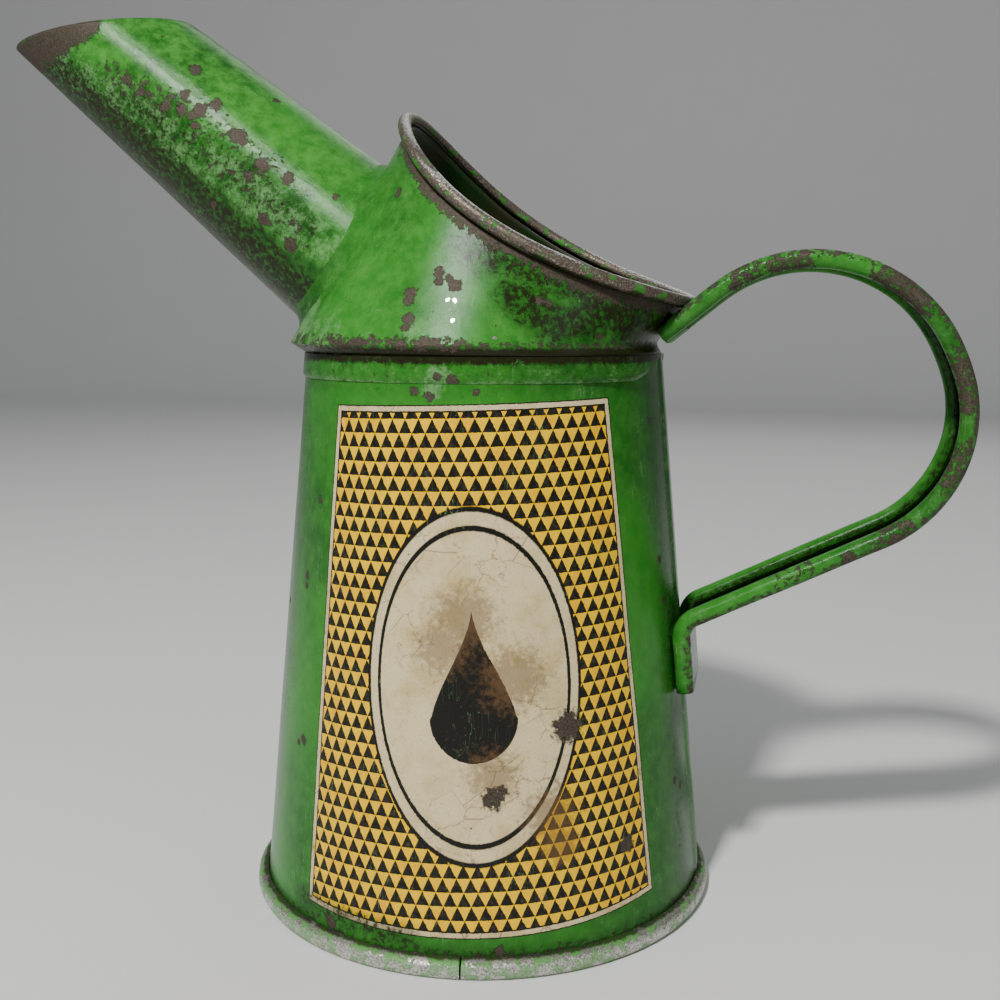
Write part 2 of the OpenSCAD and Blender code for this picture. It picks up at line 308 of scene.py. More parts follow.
class Painter:
    """Adds nodes to one material and hands back their output sockets."""

    def __init__(self, name: str) -> None:
        """Start an empty material that knows the place on the piece in millimetres."""
        self.material = bpy.data.materials.new(name)
        self.material.use_nodes = True
        self.nodes = self.material.node_tree.nodes
        self.links = self.material.node_tree.links
        self.nodes.clear()
        coordinates = self.nodes.new("ShaderNodeTexCoord").outputs["Object"]
        self.place = self.vector("SCALE", coordinates, scale=1.0 / MM)

    def feed(self, socket: Socket, value: object) -> None:
        """Link a socket into an input, or set the input to a constant."""
        if isinstance(value, bpy.types.NodeSocket):
            self.links.new(value, socket)
        else:
            socket.default_value = value

    def math(self, operation: str, a: Value, b: Value = 0.0, c: Value = 0.0) -> Socket:
        """Return the result of a math node."""
        node = self.nodes.new("ShaderNodeMath")
        node.operation = operation
        for socket, value in zip(node.inputs, (a, b, c)):
            self.feed(socket, value)
        return node.outputs[0]

    def vector(self, operation: str, a: object, b: object = None, scale: Value = 1.0) -> Socket:
        """Return the result of a vector math node, a number where the operation gives one."""
        node = self.nodes.new("ShaderNodeVectorMath")
        node.operation = operation
        self.feed(node.inputs[0], a)
        if b is not None:
            self.feed(node.inputs[1], b)
        if operation == "SCALE":
            self.feed(node.inputs["Scale"], scale)
        number = operation in ("DISTANCE", "LENGTH", "DOT_PRODUCT")
        return node.outputs["Value" if number else "Vector"]

    def noise(self, scale: float, detail: float = 4.0, roughness: float = 0.55,
              place: Optional[Socket] = None) -> Socket:
        """Return soft noise between 0 and 1.

        Args:
            scale: patches per millimetre.
            detail: number of finer layers.
            roughness: strength of the finer layers.
            place: coordinates to use in place of the piece's own.

        Returns:
            The noise's value.
        """
        node = self.nodes.new("ShaderNodeTexNoise")
        self.feed(node.inputs["Vector"], place or self.place)
        node.inputs["Scale"].default_value = scale
        node.inputs["Detail"].default_value = detail
        node.inputs["Roughness"].default_value = roughness
        return node.outputs[0]

    def cells(self, scale: float, place: Optional[Socket] = None) -> Socket:
        """Return the distance to the nearest of many scattered points."""
        node = self.nodes.new("ShaderNodeTexVoronoi")
        self.feed(node.inputs["Vector"], place or self.place)
        node.inputs["Scale"].default_value = scale
        return node.outputs["Distance"]

    def crackle(self, scale: float) -> Socket:
        """Return a mask of fine cracks that come and go, in cells of 1 / scale millimetres."""
        node = self.nodes.new("ShaderNodeTexVoronoi")
        node.feature = "DISTANCE_TO_EDGE"
        node.inputs["Scale"].default_value = scale
        wander = self.vector("SCALE", self.place, scale=1.0)
        shake = self.math("MULTIPLY_ADD", self.noise(0.5, 4.0, 0.6), 3.0, -1.5)
        self.feed(node.inputs["Vector"], self.vector("ADD", wander, shake))
        some = self.ramp(self.noise(0.05, 3.0), 0.48, 0.58)
        return self.math("MULTIPLY", self.ramp(node.outputs["Distance"], 0.022, 0.006), some)

    def ramp(self, value: Value, low: Value, high: Value) -> Socket:
        """Return 0 below low and 1 above high, with a smooth change between."""
        node = self.nodes.new("ShaderNodeMapRange")
        node.interpolation_type = "SMOOTHSTEP"
        self.feed(node.inputs["Value"], value)
        self.feed(node.inputs["From Min"], low)
        self.feed(node.inputs["From Max"], high)
        return node.outputs[0]

    def mix(self, share: Value, a: object, b: object) -> Socket:
        """Return a colour between two colours."""
        node = self.nodes.new("ShaderNodeMix")
        node.data_type = "RGBA"
        self.feed(node.inputs[0], share)
        for socket, colour in ((node.inputs[6], a), (node.inputs[7], b)):
            self.feed(socket, (*colour, 1.0) if isinstance(colour, tuple) else colour)
        return node.outputs[2]

    def between(self, share: Value, a: Value, b: Value) -> Socket:
        """Return a number between two numbers."""
        node = self.nodes.new("ShaderNodeMix")
        self.feed(node.inputs[0], share)
        self.feed(node.inputs[2], a)
        self.feed(node.inputs[3], b)
        return node.outputs[0]

    def layer(self, layer: Layer) -> Socket:
        """Return a kind of wear that the mesh carries."""
        node = self.nodes.new("ShaderNodeAttribute")
        node.attribute_name = layer.value
        return node.outputs["Fac"]

    def broken(self, zone: Value, grain: Value, soft: float = 0.02) -> Socket:
        """Break a smooth zone up into ragged patches.

        Args:
            zone: how much of the surface is covered, 0 to 1.
            grain: noise that decides where.
            soft: width of the patches' edges.

        Returns:
            A mask of the patches.
        """
        limit = self.math("MULTIPLY_ADD", zone, -0.36, 0.73)
        return self.ramp(grain, self.math("SUBTRACT", limit, soft), self.math("ADD", limit, soft))

    def spread(self, spots: tuple[Spot, ...], ragged: float = 0.9) -> Socket:
        """Return how far a place lies from the nearest spot, in shares of the spot's radius.

        Args:
            spots: the places.
            ragged: how far a spot's edge wanders, as the same share.

        Returns:
            The share, 1 at the ragged edge.
        """
        share: Value = 9.0
        for spot in spots:
            away = self.vector("DISTANCE", self.place, spot.centre)
            share = self.math("MINIMUM", share, self.math("DIVIDE", away, spot.reach))
        wander = self.math("SUBTRACT", self.noise(0.9, 4.0, 0.62), 0.5)
        return self.math("MULTIPLY_ADD", wander, 2.8 * ragged, share)

    def near(self, spots: tuple[Spot, ...], ragged: float = 0.9, soft: float = 0.08) -> Socket:
        """Return a mask of round places with ragged edges.

        Args:
            spots: the places.
            ragged: how far the edge wanders, as a share of a spot's radius.
            soft: width of the edge, as the same share.

        Returns:
            The mask.
        """
        return self.ramp(self.spread(spots, ragged), 1.0 + soft, 1.0 - soft)

    def hairlines(self, stretch: Point, scale: float, width: float) -> Socket:
        """Return a mask of thin scratches along one direction.

        Args:
            stretch: how much the pattern is squeezed along each axis.
            scale: scratches per millimetre across.
            width: width of a scratch, as a share of the noise.

        Returns:
            The mask.
        """
        squeezed = self.vector("MULTIPLY", self.place, stretch)
        wave = self.noise(scale, 2.0, 0.5, squeezed)
        line = self.math("ABSOLUTE", self.math("SUBTRACT", wave, 0.5))
        some = self.ramp(self.noise(0.09, 3.0), 0.52, 0.6)
        return self.math("MULTIPLY", self.ramp(line, width, 0.0), some)

    def finish(self, colour: object, roughness: Value, metallic: Value, height: Value,
               depth: float, gloss: float = 0.14) -> bpy.types.Material:
        """Close the material with one shader.

        Args:
            colour: the surface's colour.
            roughness: how dull it is.
            metallic: how much of it is bare metal.
            height: relief between 0 and 1.
            depth: how deep that relief is, in millimetres.
            gloss: strength of the reflection at its surface.

        Returns:
            The material.
        """
        shader = self.nodes.new("ShaderNodeBsdfPrincipled")
        self.feed(shader.inputs["Base Color"], (*colour, 1.0) if isinstance(colour, tuple) else colour)
        self.feed(shader.inputs["Roughness"], roughness)
        self.feed(shader.inputs["Metallic"], metallic)
        shader.inputs["Specular IOR Level"].default_value = gloss
        bump = self.nodes.new("ShaderNodeBump")
        bump.inputs["Distance"].default_value = depth * MM
        self.feed(bump.inputs["Height"], height)
        self.links.new(bump.outputs["Normal"], shader.inputs["Normal"])
        output = self.nodes.new("ShaderNodeOutputMaterial")
        self.links.new(shader.outputs[0], output.inputs["Surface"])
        return self.material


DEEP_GREEN: Colour = (0.012, 0.098, 0.010)
MID_GREEN: Colour = (0.032, 0.225, 0.020)
LIGHT_GREEN: Colour = (0.080, 0.320, 0.046)
PALE_GREEN: Colour = (0.19, 0.35, 0.15)
# Painted shade: the dark green that shaded places are mixed towards.
SHADE_GREEN: Colour = (0.003, 0.022, 0.002)
# Dark soiling colour, also laid in patches where painted shade falls.
GRIME_AND_SHADE: Colour = (0.018, 0.016, 0.006)
RUST_BROWN: Colour = (0.044, 0.033, 0.022)
RUST_GREY: Colour = (0.098, 0.082, 0.063)
BRIGHT_TIN: Colour = (0.62, 0.61, 0.56)


@dataclass(frozen=True)
class Enamel:
    """Green gloss enamel over tinplate, with its scuffs, soiling and lost paint, and with painted shade and painted
    highlight streaks.

    Attributes:
        name: the material's name.
        chips: places where the paint is gone.
        sparks: small places where bright tin shows.
        grain: how the scuffs are squeezed along each axis.
        light: share of the lighter green.
    """

    name: str
    chips: tuple[Spot, ...] = ()
    sparks: tuple[Spot, ...] = ()
    grain: Point = (1.0, 1.0, 0.35)
    light: float = 0.35

    def paint(self, painter: Painter) -> Socket:
        """Return the colour of the paint before wear."""
        broad = painter.ramp(painter.noise(0.022, 3.0), 0.36, 0.66)
        mottle = painter.ramp(painter.noise(0.3, 7.0, 0.7), 0.3, 0.72)
        green = painter.mix(broad, MID_GREEN, DEEP_GREEN)
        light = painter.mix(self.light, green, LIGHT_GREEN)
        return painter.mix(mottle, green, light)

    def build(self) -> bpy.types.Material:
        """Return the finished material."""
        painter = Painter(self.name)
        along = painter.vector("MULTIPLY", painter.place, self.grain)
        patches = painter.noise(0.75, 8.0, 0.76)
        streaks = painter.noise(1.9, 8.0, 0.78, along)
        grit = painter.noise(3.5, 3.0, 0.6)
        clouds = painter.noise(0.3, 4.0, 0.6)
        colour = self.paint(painter)
        # Painted shade: the paint is darkened towards SHADE_GREEN, mottled, where the layer for soiling and shade is
        # high.
        mottled = painter.math("MULTIPLY_ADD", painter.ramp(patches, 0.36, 0.6), 0.7, 0.8)
        shade = painter.math("MULTIPLY", painter.layer(Layer.GRIME_AND_SHADE), mottled)
        colour = painter.mix(shade, colour, SHADE_GREEN)

        rubbed = painter.between(0.35, streaks, clouds)
        # Pale green patches: scuffs, and on the hood and spout painted highlight streaks.
        scuffed_and_highlit = painter.broken(painter.layer(Layer.SCUFF_AND_HIGHLIGHT), rubbed, 0.08)
        colour = painter.mix(painter.math("MULTIPLY", scuffed_and_highlit, 0.55), colour, PALE_GREEN)
        hair = painter.hairlines((1.0, 1.0, 0.06), 0.8, 0.006)
        colour = painter.mix(painter.math("MULTIPLY", hair, 0.6), colour, PALE_GREEN)

        # Dark patches of soiling, which also fall where painted shade is laid.
        dirt_and_shade = painter.broken(painter.layer(Layer.GRIME_AND_SHADE), patches, 0.06)
        colour = painter.mix(painter.math("MULTIPLY", dirt_and_shade, 0.9), colour, GRIME_AND_SHADE)

        specks = painter.ramp(painter.cells(0.24), 0.055, 0.03)
        specks = painter.math("MULTIPLY", specks, painter.ramp(painter.noise(0.05, 2.0), 0.5, 0.56))
        lost = painter.broken(painter.layer(Layer.LOSS), patches)
        lost = painter.math("MAXIMUM", lost, specks)
        if self.chips:
            chip = painter.spread(self.chips)
            lost = painter.math("MAXIMUM", lost, painter.ramp(chip, 1.06, 0.94))
            outline = painter.math("MULTIPLY", painter.ramp(chip, 1.35, 1.0), 0.7)
            colour = painter.mix(outline, colour, GRIME_AND_SHADE)
        bare = painter.mix(painter.ramp(grit, 0.35, 0.65), RUST_BROWN, RUST_GREY)
        colour = painter.mix(lost, colour, bare)
        bright: Value = 0.0
        if self.sparks:
            bright = painter.near(self.sparks, 0.9)
            colour = painter.mix(bright, colour, BRIGHT_TIN)

        dull = painter.between(lost, painter.between(scuffed_and_highlit, 0.19, 0.42), 0.62)
        dull = painter.math("MULTIPLY_ADD", painter.math("SUBTRACT", grit, 0.5), 0.2, dull)
        relief = painter.math("MULTIPLY_ADD", lost, -0.8, painter.math("MULTIPLY", patches, 0.5))
        relief = painter.math("MULTIPLY_ADD", scuffed_and_highlit, -0.15, relief)
        relief = painter.math("MULTIPLY_ADD", grit, 0.12, relief)
        metal = painter.math("MAXIMUM", painter.math("MULTIPLY", lost, 0.35), bright)
        return painter.finish(colour, dull, metal, relief, 0.12)


@dataclass(frozen=True)
class Panel:
    """Printed panel on the body, on the body's own map of millimetres from the panel's middle.

    Attributes:
        low: height of its lower edge above the table.
        high: height of its upper edge.
        half_low: half its width at the table.
        narrowing: how much that half narrows for each millimetre up.
        slope: how far it is printed out of level.
        bow: rise of its lower edge at the corners.
        border: width of its plain border.
        pitch: size of one step of the pattern.
        oval: half width and half height of the plain oval.
    """

    low: float = 7.6
    high: float = 113.9
    half_low: float = 42.1
    narrowing: float = 0.100
    slope: float = 0.031
    bow: float = 1.8
    border: float = 1.3
    line: float = 0.35
    pitch: float = 2.85
    oval: tuple[float, float] = (22.5, 36.0)
    oval_height: float = 58.0


YELLOW: Colour = (1.0, 0.61, 0.0)
OCHRE: Colour = (0.90, 0.47, 0.0)
INK: Colour = (0.013, 0.011, 0.010)
CREAM: Colour = (0.74, 0.61, 0.35)
AGED_CREAM: Colour = (0.58, 0.44, 0.20)
STAIN: Colour = (0.16, 0.085, 0.035)


@dataclass(frozen=True)
class PrintedEnamel(Enamel):
    """The body's enamel with a printed panel on it."""

    panel: Panel = Panel()
    stains: tuple[Spot, ...] = ()

    def paint(self, painter: Painter) -> Socket:
        """Return the green paint with the panel printed over it."""
        green = super().paint(painter)
        panel = self.panel
        node = painter.nodes.new("ShaderNodeUVMap")
        node.uv_map = PANEL_MAP
        split = painter.nodes.new("ShaderNodeSeparateXYZ")
        spread = painter.vector("SCALE", node.outputs[0], scale=PANEL_MAP_SCALE)
        painter.links.new(spread, split.inputs[0])
        shake = painter.math("MULTIPLY", painter.math("SUBTRACT", painter.noise(1.5, 3.0), 0.5), 0.35)
        x = painter.math("ADD", split.outputs["X"], shake)
        level = painter.math("MULTIPLY_ADD", split.outputs["X"], -panel.slope, split.outputs["Y"])
        y = painter.math("ADD", level, shake)

        half = painter.math("MULTIPLY_ADD", y, -panel.narrowing, panel.half_low)
        aside = painter.math("ABSOLUTE", x)
        from_side = painter.math("SUBTRACT", half, aside)
        bowed = painter.math("MULTIPLY", painter.math("POWER", painter.math("DIVIDE", aside, half), 2.0), panel.bow)
        from_low = painter.math("SUBTRACT", painter.math("SUBTRACT", y, bowed), panel.low)
        from_high = painter.math("SUBTRACT", panel.high, y)
        inside = painter.math("MINIMUM", from_side, painter.math("MINIMUM", from_low, from_high))

        colour = self.pattern(painter, x, y)
        cream = self.cream(painter)
        frame_line = painter.ramp(inside, panel.border + panel.line, panel.border + panel.line - 0.1)
        colour = painter.mix(frame_line, colour, INK)
        edge = painter.ramp(inside, panel.border, panel.border - 0.1)
        colour = painter.mix(edge, colour, cream)
        outer = painter.ramp(inside, panel.line, panel.line - 0.1)
        colour = painter.mix(outer, colour, INK)

        colour = self.cartouche(painter, colour, cream, x, y)
        print_wear = painter.ramp(painter.noise(1.1, 8.0, 0.75), 0.60, 0.70)
        colour = painter.mix(painter.math("MULTIPLY", print_wear, 0.22), colour, AGED_CREAM)
        if self.stains:
            stained = painter.near(self.stains, 0.9, 0.5)
            colour = painter.mix(painter.math("MULTIPLY", stained, 0.6), colour, STAIN)
        return painter.mix(painter.ramp(inside, 0.0, 0.08), green, colour)

    def pattern(self, painter: Painter, x: Socket, y: Socket) -> Socket:
        """Return rows of small black pennants on yellow.

        Args:
            painter: the material's painter.
            x: distance from the panel's middle.
            y: height on the panel.

        Returns:
            The pattern's colour.
        """
        pitch = self.panel.pitch
        row = painter.math("DIVIDE", y, pitch)
        shift = painter.math("MULTIPLY", painter.math("FLOOR", row), 0.5)
        column = painter.math("ADD", painter.math("DIVIDE", x, pitch), shift)
        rise = painter.math("FRACT", row)
        across = painter.math("ABSOLUTE", painter.math("SUBTRACT", painter.math("FRACT", column), 0.5))
        flag = painter.ramp(painter.math("MULTIPLY_ADD", across, 2.0, rise), 1.03, 0.97)
        tone = painter.ramp(painter.noise(0.18, 5.0, 0.7), 0.42, 0.68)
        ground = painter.mix(tone, YELLOW, OCHRE)
        faded = painter.mix(painter.ramp(painter.noise(0.9, 5.0, 0.7), 0.45, 0.8), INK, (0.06, 0.05, 0.035))
        return painter.mix(flag, ground, faded)

    def cream(self, painter: Painter) -> Socket:
        """Return the aged cream of the border and the oval."""
        cloud = painter.ramp(painter.noise(0.12, 6.0, 0.7), 0.40, 0.72)
        peppered = painter.ramp(painter.noise(2.2, 4.0, 0.7), 0.57, 0.70)
        cream = painter.mix(cloud, CREAM, AGED_CREAM)
        cream = painter.mix(painter.math("MULTIPLY", painter.crackle(0.16), 0.6), cream, STAIN)
        return painter.mix(painter.math("MULTIPLY", peppered, 0.5), cream, STAIN)

    def cartouche(self, painter: Painter, colour: Socket, cream: Socket, x: Socket, y: Socket) -> Socket:
        """Return the panel's colour with an oval and an oil drop in it.

        Args:
            painter: the material's painter.
            colour: the colour so far.
            cream: the oval's colour.
            x: distance from the panel's middle.
            y: height on the panel.

        Returns:
            The new colour.
        """
        half_width, half_height = self.panel.oval
        up = painter.math("SUBTRACT", y, self.panel.oval_height)
        flat = painter.math("POWER", painter.math("ABSOLUTE", painter.math("DIVIDE", x, half_width)), 2.0)
        tall = painter.math("POWER", painter.math("ABSOLUTE", painter.math("DIVIDE", up, half_height)), 2.0)
        radius = painter.math("SQRT", painter.math("ADD", flat, tall))
        colour = painter.mix(painter.ramp(radius, 1.005, 0.995), colour, INK)
        colour = painter.mix(painter.ramp(radius, 0.975, 0.965), colour, cream)
        ring = painter.math("ABSOLUTE", painter.math("SUBTRACT", radius, 0.88))
        colour = painter.mix(painter.ramp(ring, 0.02, 0.012), colour, INK)
        return painter.mix(self.drop(painter, x, up), colour, INK)

    def drop(self, painter: Painter, x: Socket, up: Socket) -> Socket:
        """Return the mask of an oil drop with a small light place in it.

        Args:
            painter: the material's painter.
            x: distance from the oval's middle.
            up: height above the oval's middle.

        Returns:
            The mask.
        """
        share = painter.ramp(up, 17.0, -9.0)
        width = painter.math("MULTIPLY", share, 9.0)
        low = painter.math("SUBTRACT", up, -6.0)
        below = painter.math("SQRT", painter.math("MAXIMUM", painter.math(
            "SUBTRACT", 81.0, painter.math("MULTIPLY", low, low)), 0.0))
        width = painter.between(painter.ramp(up, -5.5, -6.5), width, below)
        body = painter.ramp(painter.math("SUBTRACT", width, painter.math("ABSOLUTE", x)), 0.0, 0.15)
        return body


PANEL_MAP = "panel"
PANEL_MAP_SCALE = 100.0


@dataclass(frozen=True)
class BareSteel:
    """Steel that has lost its paint: brown and grey, with green left in places.

    Attributes:
        name: the material's name.
        dark: colour of its dark patches.
        light: colour of its rubbed patches.
        left: share of paint that is left.
        shine: how metallic its rubbed patches are.
        paint: colour of what is left of the paint.
    """

    name: str
    dark: Colour = RUST_BROWN
    light: Colour = RUST_GREY
    left: float = 0.4
    shine: float = 0.7
    paint: Colour = MID_GREEN

    def build(self) -> bpy.types.Material:
        """Return the finished material."""
        painter = Painter(self.name)
        patches = painter.noise(0.35, 7.0, 0.7)
        grit = painter.noise(2.6, 5.0, 0.7)
        colour = painter.mix(painter.ramp(grit, 0.30, 0.74), self.dark, self.light)
        rubbed = painter.broken(painter.layer(Layer.SCUFF_AND_HIGHLIGHT), grit, 0.08)
        colour = painter.mix(rubbed, colour, BRIGHT_TIN)
        kept = painter.broken(self.left, patches, 0.03)
        kept = painter.math("MULTIPLY", kept, painter.math("SUBTRACT", 1.0, painter.layer(Layer.LOSS)))
        colour = painter.mix(kept, colour, self.paint)
        # Dark patches where the layer for soiling and shade is high.
        dirt_and_shade = painter.broken(painter.layer(Layer.GRIME_AND_SHADE), patches, 0.1)
        colour = painter.mix(painter.math("MULTIPLY", dirt_and_shade, 0.85), colour, GRIME_AND_SHADE)
        metal = painter.math("MULTIPLY", painter.math("SUBTRACT", 1.0, kept), self.shine)
        dull = painter.between(rubbed, 0.5, 0.3)
        relief = painter.math("MULTIPLY_ADD", kept, 0.5, painter.math("MULTIPLY", grit, 0.5))
        return painter.finish(colour, dull, metal, relief, 0.12)


@dataclass(frozen=True)
class Inside:
    """Oily inside of the jug: dark green clouded with dark brown, with rust-brown specks.

    Attributes:
        name: the material's name.
        tone: its main colour.
    """

    name: str = "oily_inside"
    tone: Colour = (0.012, 0.045, 0.010)

    def build(self) -> bpy.types.Material:
        """Return the finished material."""
        painter = Painter(self.name)
        cloud = painter.ramp(painter.noise(0.08, 6.0, 0.7), 0.35, 0.7)
        grit = painter.noise(2.0, 5.0, 0.7)
        colour = painter.mix(cloud, self.tone, (0.035, 0.030, 0.015))
        colour = painter.mix(painter.ramp(grit, 0.58, 0.7), colour, RUST_BROWN)
        dull = painter.between(cloud, 0.28, 0.5)
        return painter.finish(colour, dull, 0.0, grit, 0.06)


# The jug's pieces


@dataclass(frozen=True)
class Form:
    """Sizes that several pieces share, in millimetres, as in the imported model."""

    base_r: float = 51.3
    top_r: float = 39.8
    tin: float = 0.5
    foot_out: float = 2.1
    foot_bead_r: float = 2.4

    @property
    def height(self) -> float:
        """Height of the body up to its joint."""
        return box_mm("body_shell")[1].z

    @property
    def ring_top(self) -> float:
        """Height of the foot ring."""
        return box_mm("foot_ring")[1].z

    @property
    def collar_low(self) -> float:
        """Height of the collar's lower edge."""
        return box_mm("collar_strip")[0].z

    def slope(self) -> float:
        """How much the body narrows for each millimetre up."""
        return (self.base_r - self.top_r) / self.height

    def radius(self, z: float) -> float:
        """Return the body's outer radius at a height."""
        return self.base_r - self.slope() * z


FORM = Form()


@dataclass
class Body:
    """Conical body sheet with its folded side seam under the handle."""

    seam_w: float = 7.0
    seam_proud: float = 0.5
    fold: float = 0.9
    columns: int = 300
    rows: int = 96

    def skin(self, u: float, v: float) -> Vector:
        """Return a point of the outer face from its share round and up."""
        low = FORM.tin * FORM.slope()
        z = low + v * (FORM.height - low)
        turn = 2.0 * math.pi * u
        radius = FORM.radius(z) + self.seam_rise(turn, z)
        return Vector((radius * math.cos(turn), radius * math.sin(turn), z))

    def seam_rise(self, turn: float, z: float) -> float:
        """Return how far the side seam stands out at a place."""
        aside = abs((turn + math.pi) % (2.0 * math.pi) - math.pi) * FORM.radius(z)
        across = 1.0 - fade(aside, self.seam_w / 2 - self.fold, self.seam_w / 2)
        return self.seam_proud * across * fade(z, FORM.ring_top, FORM.ring_top + 1.0)

    def map_panel(self, bm: bmesh.types.BMesh, panel: "PanelPlace") -> None:
        """Give the skin a map in millimetres from the panel's middle."""
        layer = bm.loops.layers.uv.new(PANEL_MAP)
        for face in bm.faces:
            centre = face.calc_center_median()
            reference = panel.aside(centre, None)
            for loop in face.loops:
                spread = panel.aside(loop.vert.co, reference)
                radius = FORM.radius(loop.vert.co.z / MM)
                across = spread * radius
                loop[layer].uv = (across / PANEL_MAP_SCALE, loop.vert.co.z / MM / PANEL_MAP_SCALE)

    def build(self) -> list[Piece]:
        """Return the body sheet."""
        bm = grown(self.skin, self.columns, self.rows)
        face_out(bm, axis_point)
        self.map_panel(bm, PanelPlace())
        dent(bm, 26.0, 0.22, 3.1)
        dent(bm, 7.0, 0.05, 5.7)
        chips = (
            Spot((26.3, -38.6, 49.4), 2.9), Spot((12.6, -46.2, 35.9), 1.9),
            Spot((37.9, -31.4, 22.4), 1.7), Spot((14.5, -45.6, 37.5), 1.0),
            Spot((-4.9, -40.1, 116.3), 0.9), Spot((-1.7, -40.5, 115.3), 0.9),
            Spot((7.6, -39.7, 116.0), 0.7), Spot((-31.7, -30.8, 76.1), 0.9),
            Spot((-31.8, -31.0, 74.0), 0.7), Spot((-27.9, -32.3, 92.7), 0.8),
            Spot((-39.7, -21.0, 68.0), 0.8), Spot((-31.5, -35.5, 41.0), 1.0),
            Spot((-33.0, -34.0, 40.0), 0.7), Spot((41.9, -13.0, 79.3), 0.9),
            Spot((43.1, -12.0, 70.3), 0.8), Spot((46.3, -14.0, 30.6), 0.9),
            Spot((47.3, -11.0, 28.5), 0.8), Spot((39.1, -12.7, 109.3), 0.8),
            Spot((-22.3, -45.7, 5.6), 1.3), Spot((14.7, -48.7, 5.0), 1.1),
            Spot((22.8, 39.6, 60.0), 1.4), Spot((-16.7, 46.0, 25.0), 1.8),
            Spot((-18.8, 45.4, 23.0), 1.0), Spot((-37.1, 21.4, 90.0), 1.2),
            Spot((8.7, 49.2, 14.0), 1.5), Spot((-27.0, 38.6, 45.0), 1.0),
        )
        stains = (
            Spot((23.8, -42.0, 32.0), 5.0), Spot((25.5, -41.7, 25.7), 4.0),
            Spot((6.0, -43.5, 72.0), 6.0), Spot((16.0, -42.0, 60.0), 6.0),
            Spot((2.0, -44.5, 66.0), 5.0), Spot((12.0, -44.0, 40.0), 5.0),
        )
        piece = Piece(bm, "body_sheet", "body_paint").stands_for("body_shell")
        piece.dressed(PrintedEnamel("body_enamel", chips, stains=stains).build(), INSIDE)
        piece.worn({Layer.SCUFF_AND_HIGHLIGHT: self.scuff_and_highlight, Layer.LOSS: self.loss, Layer.GRIME_AND_SHADE: self.grime_and_shade})
        return [piece.walled(FORM.tin)]

    def scuff_and_highlight(self, point: Vector) -> float:
        """Return how scuffed the paint is at a point."""
        marks = (
            Spot((-1.0, -40.3, 116.8), 4.0, 0.8), Spot((28.0, -29.0, 116.0), 5.0, 0.5),
            Trail(((40.3, -4.0, 112.0), (46.5, -4.0, 50.0), (49.5, -4.0, 12.0)), 6.0, 0.45),
        )
        return max(0.2, strongest(marks, point))

    def loss(self, point: Vector) -> float:
        """Return how much paint is gone at a point."""
        low = 1.0 - fade(point.z, FORM.ring_top, FORM.ring_top + 3.0)
        sides = (
            Trail(((41.5, -12.0, 112.0), (44.5, -13.0, 70.0), (48.5, -13.0, 14.0)), 5.0, 0.42),
            Trail(((-33.0, -24.0, 112.0), (-40.0, -28.0, 40.0)), 5.0, 0.34),
        )
        return max(0.12, 0.55 * low, strongest(sides, point))

    def grime_and_shade(self, point: Vector) -> float:
        """Return how dark the paint is made at a point: soiled low down, darker just under the collar, with painted
        shade along the left and right edges.
        """
        low = 1.0 - fade(point.z, FORM.ring_top, FORM.ring_top + 3.5)
        top = fade(point.z, FORM.collar_low - 5.0, FORM.collar_low)
        marks = (
            Trail(((-30.0, -39.0, 8.0), (-18.0, -46.5, 7.5), (-4.0, -50.0, 6.5)), 5.0, 0.55),
            # Painted shade, with some soiling, along the body's left and right edges.
            Trail(((-37.0, -15.0, 115.0), (-47.0, -19.0, 10.0)), 16.0, 0.42),
            Trail(((39.0, -8.0, 116.0), (49.0, -10.0, 10.0)), 12.0, 0.38),
        )
        return max(0.06, 0.5 * low, 0.25 * top, strongest(marks, point))


@dataclass(frozen=True)
class PanelPlace:
    """Where the printed panel's middle lies round the body.

    Attributes:
        low_turn: its turn from the handle at the table, in degrees.
        lead: how much that turn changes for each millimetre up.
    """

    low_turn: float = -77.6
    lead: float = -0.035

    def aside(self, point: Vector, reference: Optional[float]) -> float:
        """Return a point's turn from the panel's middle.

        Args:
            point: the point in metres.
            reference: a turn that the result has to lie near, for points of one face.

        Returns:
            The turn in radians.
        """
        middle = math.radians(self.low_turn + self.lead * point.z / MM)
        turn = (math.atan2(point.y, point.x) - middle + math.pi) % (2.0 * math.pi) - math.pi
        if reference is not None:
            turn += 2.0 * math.pi * round((reference - turn) / (2.0 * math.pi))
        return turn


